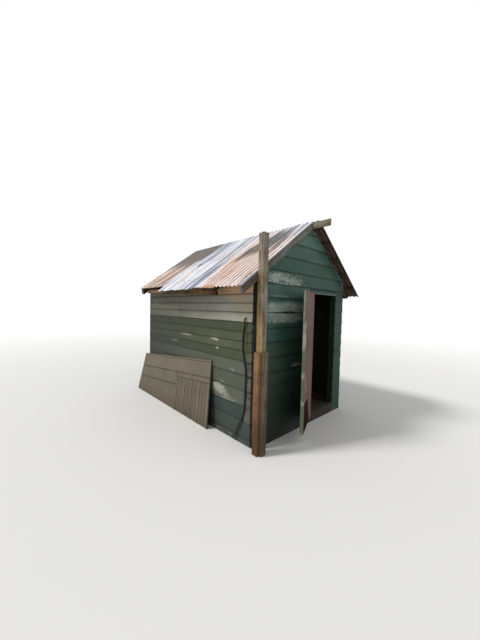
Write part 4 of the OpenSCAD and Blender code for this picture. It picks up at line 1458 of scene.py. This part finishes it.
class HUT_OT_corner_post(HutStep):
    """Square corner post, and the two short pieces nailed to its foot"""

    bl_idname = "hut.corner_post"
    bl_label = "Corner post"

    def execute(self, context):
        hues = colours()
        post_wood = weathered_wood("Cedar post, weathered", hues.post_gold, "#47351f",
                                   other=hues.post_grey, knots=0.6, checks=0.8)
        low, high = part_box("corner_post")
        front = low.y + 0.008
        post = Pieces(121)
        timber(post, low, high, lambda p: np.where(p[:, 1] < front, 0.55, 0.0)
               + 0.6 * np.clip((p[:, 2] - 1.3) / 1.2, 0, 1), 0.014)
        post.make("corner_post_timber", [post_wood], "post_lumber", "corner_post", smooth=50)

        nails = Pieces(124)
        for name, node, seed, run, label, light, dark, damp_and_painted_shade, knots in (
            ("post_side_piece", "post_scab_left", 122, 1, "Spruce, orange brown",
             hues.scab_orange, "#53351f", "#5d432c", 0.85),
            ("post_front_piece", "post_scab_front", 123, 0, "Spruce, pinkish grey",
             hues.scab_pink, "#47392e", "#574b3d", 0.7),
        ):
            wood = weathered_wood(label, light, dark, knots=knots, other=damp_and_painted_shade)
            low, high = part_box(node)
            pieces = Pieces(seed)
            # The pieces are darker towards the bottom
            timber(pieces, low, high,
                   lambda p: np.interp(p[:, 2], [0.15, 0.75], [1.15, 0.0]), 0.004)
            pieces.make(name, [wood], "post_lumber", node, smooth=50)
            for z, part in product((0.16, 0.42, 0.66, 0.93, 1.17), (0.28, 0.72)):
                spot = np.array([low.x, low.y, z + nails.rng.normal(0, 0.012)])
                spot[run] += (high[run] - low[run]) * part
                nails.disc(spot, -X if run else -Y, sizes().nail, 0.0016)
        nails.make("post_nails", [bare_iron()], "dark_iron")
        return {"FINISHED"}


# Lean of the panel, fall of its top edge, its length and the rakes of its ends, as packed
PANEL_LEAN = math.radians(6)
PANEL_FALL = 0.215
PANEL_LENGTH = 2.30
PANEL_RAKE = 0.0448
PANEL_REAR_RAKE = 0.2786
PANEL_TOP = 1.005
PANEL_FOOT = (PANEL_TOP - 0.002) / math.cos(PANEL_LEAN)
PANEL_BACKING = 0.014
PANEL_RISE = 0.024 - PANEL_BACKING


def panel_board(pieces, corner, start, end, upper_edge, lower_edge, base, height, tone, shade):
    """A board between two distances along the panel and two depths under its top edge."""
    out = -math.cos(PANEL_LEAN) * X + math.sin(PANEL_LEAN) * Z
    down = -math.sin(PANEL_LEAN) * X - math.cos(PANEL_LEAN) * Z
    y = np.linspace(start, end, max(2, int((end - start) / 0.05) + 1))
    levels = np.array([[upper_edge], [(upper_edge + lower_edge) / 2], [lower_edge]])
    depth = np.minimum(PANEL_FALL / PANEL_LENGTH * y + levels, PANEL_FOOT)
    front = PANEL_RAKE * depth * np.maximum(0, 1 - y / 0.3)
    rear = PANEL_REAR_RAKE * (depth - PANEL_FALL) * np.maximum(0, (y - 1) / (PANEL_LENGTH - 1))
    grid = np.stack([y - front + rear, depth], -1)
    wobble = pieces.rng.normal(0, 0.0004, depth.shape)
    ease = 0.002
    shrunk = grid.copy()
    shrunk[[0, -1], :, 1] += [[ease], [-ease]]
    shrunk[:, [0, -1], 0] += [ease, -ease]
    points = [
        corner + plane[..., :1] * Y + plane[..., 1:] * down + stand[..., None] * out
        for plane, stand in ((grid, np.full(depth.shape, base)), (shrunk, base + height + wobble))
    ]
    flat = np.tile(grid.reshape(-1, 2), (2, 1))
    grain = np.column_stack([flat, np.zeros(len(flat))]) + pieces.rng.uniform(-9, 9, 3)
    # Painted shade that deepens towards the panel's far end
    shade = np.maximum(shade, 0.10 * np.clip(flat[:, 0] / PANEL_LENGTH, 0, 1))
    pieces.keep(np.reshape(points, (-1, 3)), slab(*depth.shape, flip=True)[0], 0, tone, shade,
                grain=grain)


class HUT_OT_panel(HutStep):
    """Tan panel of joined boards that leans on the left wall"""

    bl_idname = "hut.panel"
    bl_label = "Leaning panel"

    def execute(self, context):
        low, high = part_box("leaning_panel")
        corner = np.array([high.x, low.y + PANEL_RAKE * PANEL_FOOT, PANEL_TOP])
        pieces = Pieces(131)
        whole, low_end, split = PANEL_LENGTH, 1.02, 0.945
        # The backing is painted dark: painted shade in the gaps between the boards
        panel_board(pieces, corner, 0.0, whole, 0.0, low_end, 0.0, PANEL_BACKING, 0.2, 0.8)
        # The rail and the boards that stand on the backing sheet. Each row: start, end, upper
        # edge, lower edge, share of the full rise, and tone
        rows = [
            (0.0, whole, 0.0, 0.024, 1.0, 1.0), (0.0, whole, 0.030, 0.252, 0.55, 0.62),
            (0.0, whole, 0.252, 0.262, 0.9, 0.9), (split, whole, 0.274, 0.474, 0.5, 0.50),
            (split, whole, 0.474, 0.482, 0.9, 0.8), (split, whole, 0.494, low_end, 0.5, 0.40),
            (0.0, 0.940, 0.274, 0.345, 0.6, 0.5), (0.0, 0.940, 0.357, low_end, 0.2, 0.35),
        ]
        # Wide ribs, with two narrow ones between each pair
        for starts, wide, share, tone in (
            ((0.0, 0.23, 0.445, 0.655, 0.905), 0.032, 0.95, 0.95),
            ((0.085, 0.155, 0.31, 0.375, 0.525, 0.59, 0.74, 0.82), 0.013, 0.6, 0.7),
        ):
            rows += [(start, start + wide, 0.357, low_end, share, tone) for start in starts]
        for *place, share, tone in rows:
            panel_board(pieces, corner, *place, PANEL_BACKING, PANEL_RISE * share, tone, 0.0)
        pieces.make("leaning_tan_panel", [painted_hardboard("Hardboard, tan paint")],
                    "tan_panel", "leaning_panel")
        return {"FINISHED"}


# Points of the pipe's middle line in millimetres: distance from the front corner, height and
# distance out from the wall
PIPE_ROUTE = [
    (190, 1666, 0), (190, 1666, 9), (191, 1660, 20), (194, 1640, 25), (201, 1600, 21),
    (215, 1530, 14), (230, 1450, 12), (235, 1350, 12), (233, 1270, 12), (218, 1190, 12),
    (196, 1100, 12), (172, 1000, 12), (166, 900, 12), (169, 780, 12), (174, 660, 12),
    (178, 560, 12), (184, 470, 12), (203, 390, 13), (235, 320, 15), (272, 240, 18),
    (308, 165, 21), (340, 95, 24), (368, 30, 27),
]
PIPE_RADIUS = 0.011


class HUT_OT_pipe(HutStep):
    """Black pipe that lies on the left wall"""

    bl_idname = "hut.pipe"
    bl_label = "Black pipe"

    def execute(self, context):
        low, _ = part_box("front_siding_left")
        y, z, out = np.array(PIPE_ROUTE).T / 1000
        knots = np.column_stack([low.x - out, low.y + y, z])
        knots = np.vstack([2 * knots[0] - knots[1], knots, 2 * knots[-1] - knots[-2]])
        # A smooth curve through all the knots
        line = [
            0.5 * (2 * b + (c - a) * t + (2 * a - 5 * b + 4 * c - d) * t ** 2
                   + (3 * b - a - 3 * c + d) * t ** 3)
            for a, b, c, d in zip(knots, knots[1:], knots[2:], knots[3:])
            for t in np.linspace(0, 1, 6, endpoint=False)
        ]
        line = np.array(line + [knots[-2]])
        sides = 16
        angles = np.linspace(0, 2 * math.pi, sides, endpoint=False)
        points, grain = [], []
        travelled = 0.0
        normal = Y
        for i, centre in enumerate(line):
            tangent = line[min(i + 1, len(line) - 1)] - line[max(i - 1, 0)]
            side = np.cross(tangent, normal)
            normal = np.cross(side, tangent)
            side, normal = side / np.linalg.norm(side), normal / np.linalg.norm(normal)
            travelled += np.linalg.norm(centre - line[max(i - 1, 0)])
            for angle in angles:
                points.append(
                    centre + PIPE_RADIUS * (math.cos(angle) * side + math.sin(angle) * normal))
                grain.append((travelled, angle * PIPE_RADIUS, 0.0))
        pieces = Pieces(141)
        pieces.keep(points, [face[::-1] for face in tube(len(line), sides)], grain=grain)
        pieces.make("water_pipe", [black_polyethylene("Polyethylene, black")], "black_plastic",
                    "black_pipe", smooth=60)
        return {"FINISHED"}


class HUT_OT_board_nails(HutStep):
    """Nail heads that hold the wall boards to the studs"""

    bl_idname = "hut.board_nails"
    bl_label = "Board nails"

    def execute(self, context):
        nails = Pieces(151)
        left, right, rear, front = (
            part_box(name)
            for name in ("left_siding", "right_siding", "rear_siding", "front_siding_left")
        )
        start = left[0].y
        studs = start + FRAME_START + STUD / 2 + np.linspace(0, FRAME_LENGTH - STUD, STUDS)
        # Each row: the laps, the places along the wall, the wall's face, the way out of it and
        # how far a nail strays
        for laps, places, face, out, stray in (
            (LEFT_LAPS, np.maximum(studs, start + 0.02), left[0].x, -X, 0.006),
            (FRONT_LAPS, studs, right[1].x, X, 0.006),
            (FRONT_LAPS, (-1.0, -0.33, 0.33, 1.0), rear[1].y, Y, 0.006),
            (FRONT_LAPS, (-1.0, -0.52, -0.02, 0.89, 1.08), front[0].y, -Y, 0.005),
        ):
            for z, along in product(laps, places):
                along += nails.rng.normal(0, stray)
                spot = (face, along) if out[0] else (along, face)
                nails.disc((*spot, z + NAIL_RISE), out, sizes().nail, NAIL_STANDS)
        for z, x, side in product(GABLE_LAPS[:-1], (-0.5, 0.0, 0.5), (1, -1)):
            if abs(x) < slope_limit(z + 0.05):
                spot = (x + nails.rng.normal(0, 0.005), side * front[0].y, z + NAIL_RISE)
                nails.disc(spot, -side * Y, sizes().nail, NAIL_STANDS)
        nails.make("board_nails", [bare_iron()], "dark_iron")
        return {"FINISHED"}


# Stage

class HUT_OT_stage(HutStep):
    """Pale floor, soft lights, white surroundings and the camera"""

    bl_idname = "hut.stage"
    bl_label = "Stage"

    def execute(self, context):
        scene = context.scene
        scene.view_settings.view_transform = "Standard"
        # The floor stays pale near the hut and turns white far off, for the camera alone
        material, add = new_finish("Studio floor")
        place = add("TexCoord", out="Object")
        distance = add("VectorMath", [place], out="Value", operation="LENGTH")
        far = add("MapRange", [distance, 4.0, 16.0], interpolation_type="SMOOTHSTEP")
        seen = add("LightPath", out="Is Camera Ray")
        add("OutputMaterial", [add("MixShader", [
            add("Math", [far, seen], operation="MULTIPLY"),
            add("BsdfPrincipled", {"Base Color": colours().ground, "Roughness": 0.9}),
            add("Emission", {"Color": (1, 1, 1, 1), "Strength": 1.0}),
        ])])
        mesh = bpy.data.meshes.new("studio_floor")
        size = 60.0
        corners = [(-size, -size), (size, -size), (size, size), (-size, size)]
        mesh.from_pydata([(x, y, -0.002) for x, y in corners], [], [(0, 1, 2, 3)])
        mesh.materials.append(material)
        floor = bpy.data.objects.new("studio_floor", mesh)
        scene.collection.objects.link(floor)

        scene.world = bpy.data.worlds.new("Studio white")
        scene.world.use_nodes = True
        scene.world.node_tree.nodes.clear()
        add = partial(add_node, scene.world.node_tree)
        seen = 0.0
        for ray in ("Is Camera Ray", "Is Glossy Ray", "Is Transmission Ray"):
            seen = add("Math", [seen, add("LightPath", out=ray)], operation="MAXIMUM")
        add("OutputWorld", [add("MixShader", [
            seen,
            add("Background", {"Color": (0.93, 0.96, 1, 1), "Strength": 0.60}),
            add("Background", {"Color": (1, 1, 1, 1), "Strength": 1.0}),
        ])])

        for name, toward, strength, spread in (
            ("key_light", (-0.60, 0.34, 0.72), 2.3, 12),
            ("fill_light", (0.30, -0.80, 0.50), 0.30, 60),
        ):
            lamp = bpy.data.lights.new(name, "SUN")
            lamp.energy = strength
            lamp.angle = math.radians(spread)
            holder = bpy.data.objects.new(name, lamp)
            z_axis = np.array(toward) / np.linalg.norm(toward)
            x_axis = np.cross(Z, z_axis)
            x_axis /= np.linalg.norm(x_axis)
            turn = np.eye(4)
            turn[:3, :3] = np.column_stack([x_axis, np.cross(z_axis, x_axis), z_axis])
            holder.matrix_world = Matrix(turn)
            scene.collection.objects.link(holder)

        # Camera matched to the photograph's horizon, corners and post
        data = bpy.data.cameras.new("photo_camera")
        data.lens = 14.654
        data.sensor_width = 36.0
        data.clip_end = 200.0
        camera = bpy.data.objects.new("photo_camera", data)
        camera.matrix_world = Matrix((
            (0.73507, 0.01502, -0.67783, -3.4625),
            (-0.67762, 0.04952, -0.73374, -3.7829),
            (0.02255, 0.99866, 0.04659, 1.8017),
            (0.0, 0.0, 0.0, 1.0),
        ))
        scene.collection.objects.link(camera)
        scene.camera = camera
        return {"FINISHED"}


STEPS = (
    HUT_OT_stage, HUT_OT_framing, HUT_OT_floor, HUT_OT_left_wall, HUT_OT_front_wall,
    HUT_OT_right_wall, HUT_OT_rear_wall, HUT_OT_doorway, HUT_OT_door, HUT_OT_ironwork,
    HUT_OT_roof_sheets, HUT_OT_roof_nails, HUT_OT_roof_timbers, HUT_OT_corner_post,
    HUT_OT_panel, HUT_OT_pipe, HUT_OT_board_nails,
)


class HUT_PT_panel(bpy.types.Panel):
    """Buttons and settings of the outhouse in the sidebar"""

    bl_idname = "HUT_PT_panel"
    bl_label = "Outhouse"
    bl_space_type = "VIEW_3D"
    bl_region_type = "UI"
    bl_category = "Outhouse"

    def draw(self, context):
        layout = self.layout
        for step in STEPS:
            layout.operator(step.bl_idname)
        for group in (context.scene.hut_sizes, context.scene.hut_colours):
            box = layout.box()
            for name in group.__annotations__:
                box.prop(group, name)


CLASSES = (HutColours, HutSizes, *STEPS, HUT_PT_panel)


def register():
    for item in CLASSES:
        bpy.utils.register_class(item)
    bpy.types.Scene.hut_colours = bpy.props.PointerProperty(type=HutColours)
    bpy.types.Scene.hut_sizes = bpy.props.PointerProperty(type=HutSizes)


def unregister():
    del bpy.types.Scene.hut_sizes
    del bpy.types.Scene.hut_colours
    for item in reversed(CLASSES):
        bpy.utils.unregister_class(item)


def main():
    """Builds everything in order."""
    register()
    for step in STEPS:
        group, name = step.bl_idname.split(".")
        getattr(getattr(bpy.ops, group), name)()


if __name__ == "__main__":
    main()
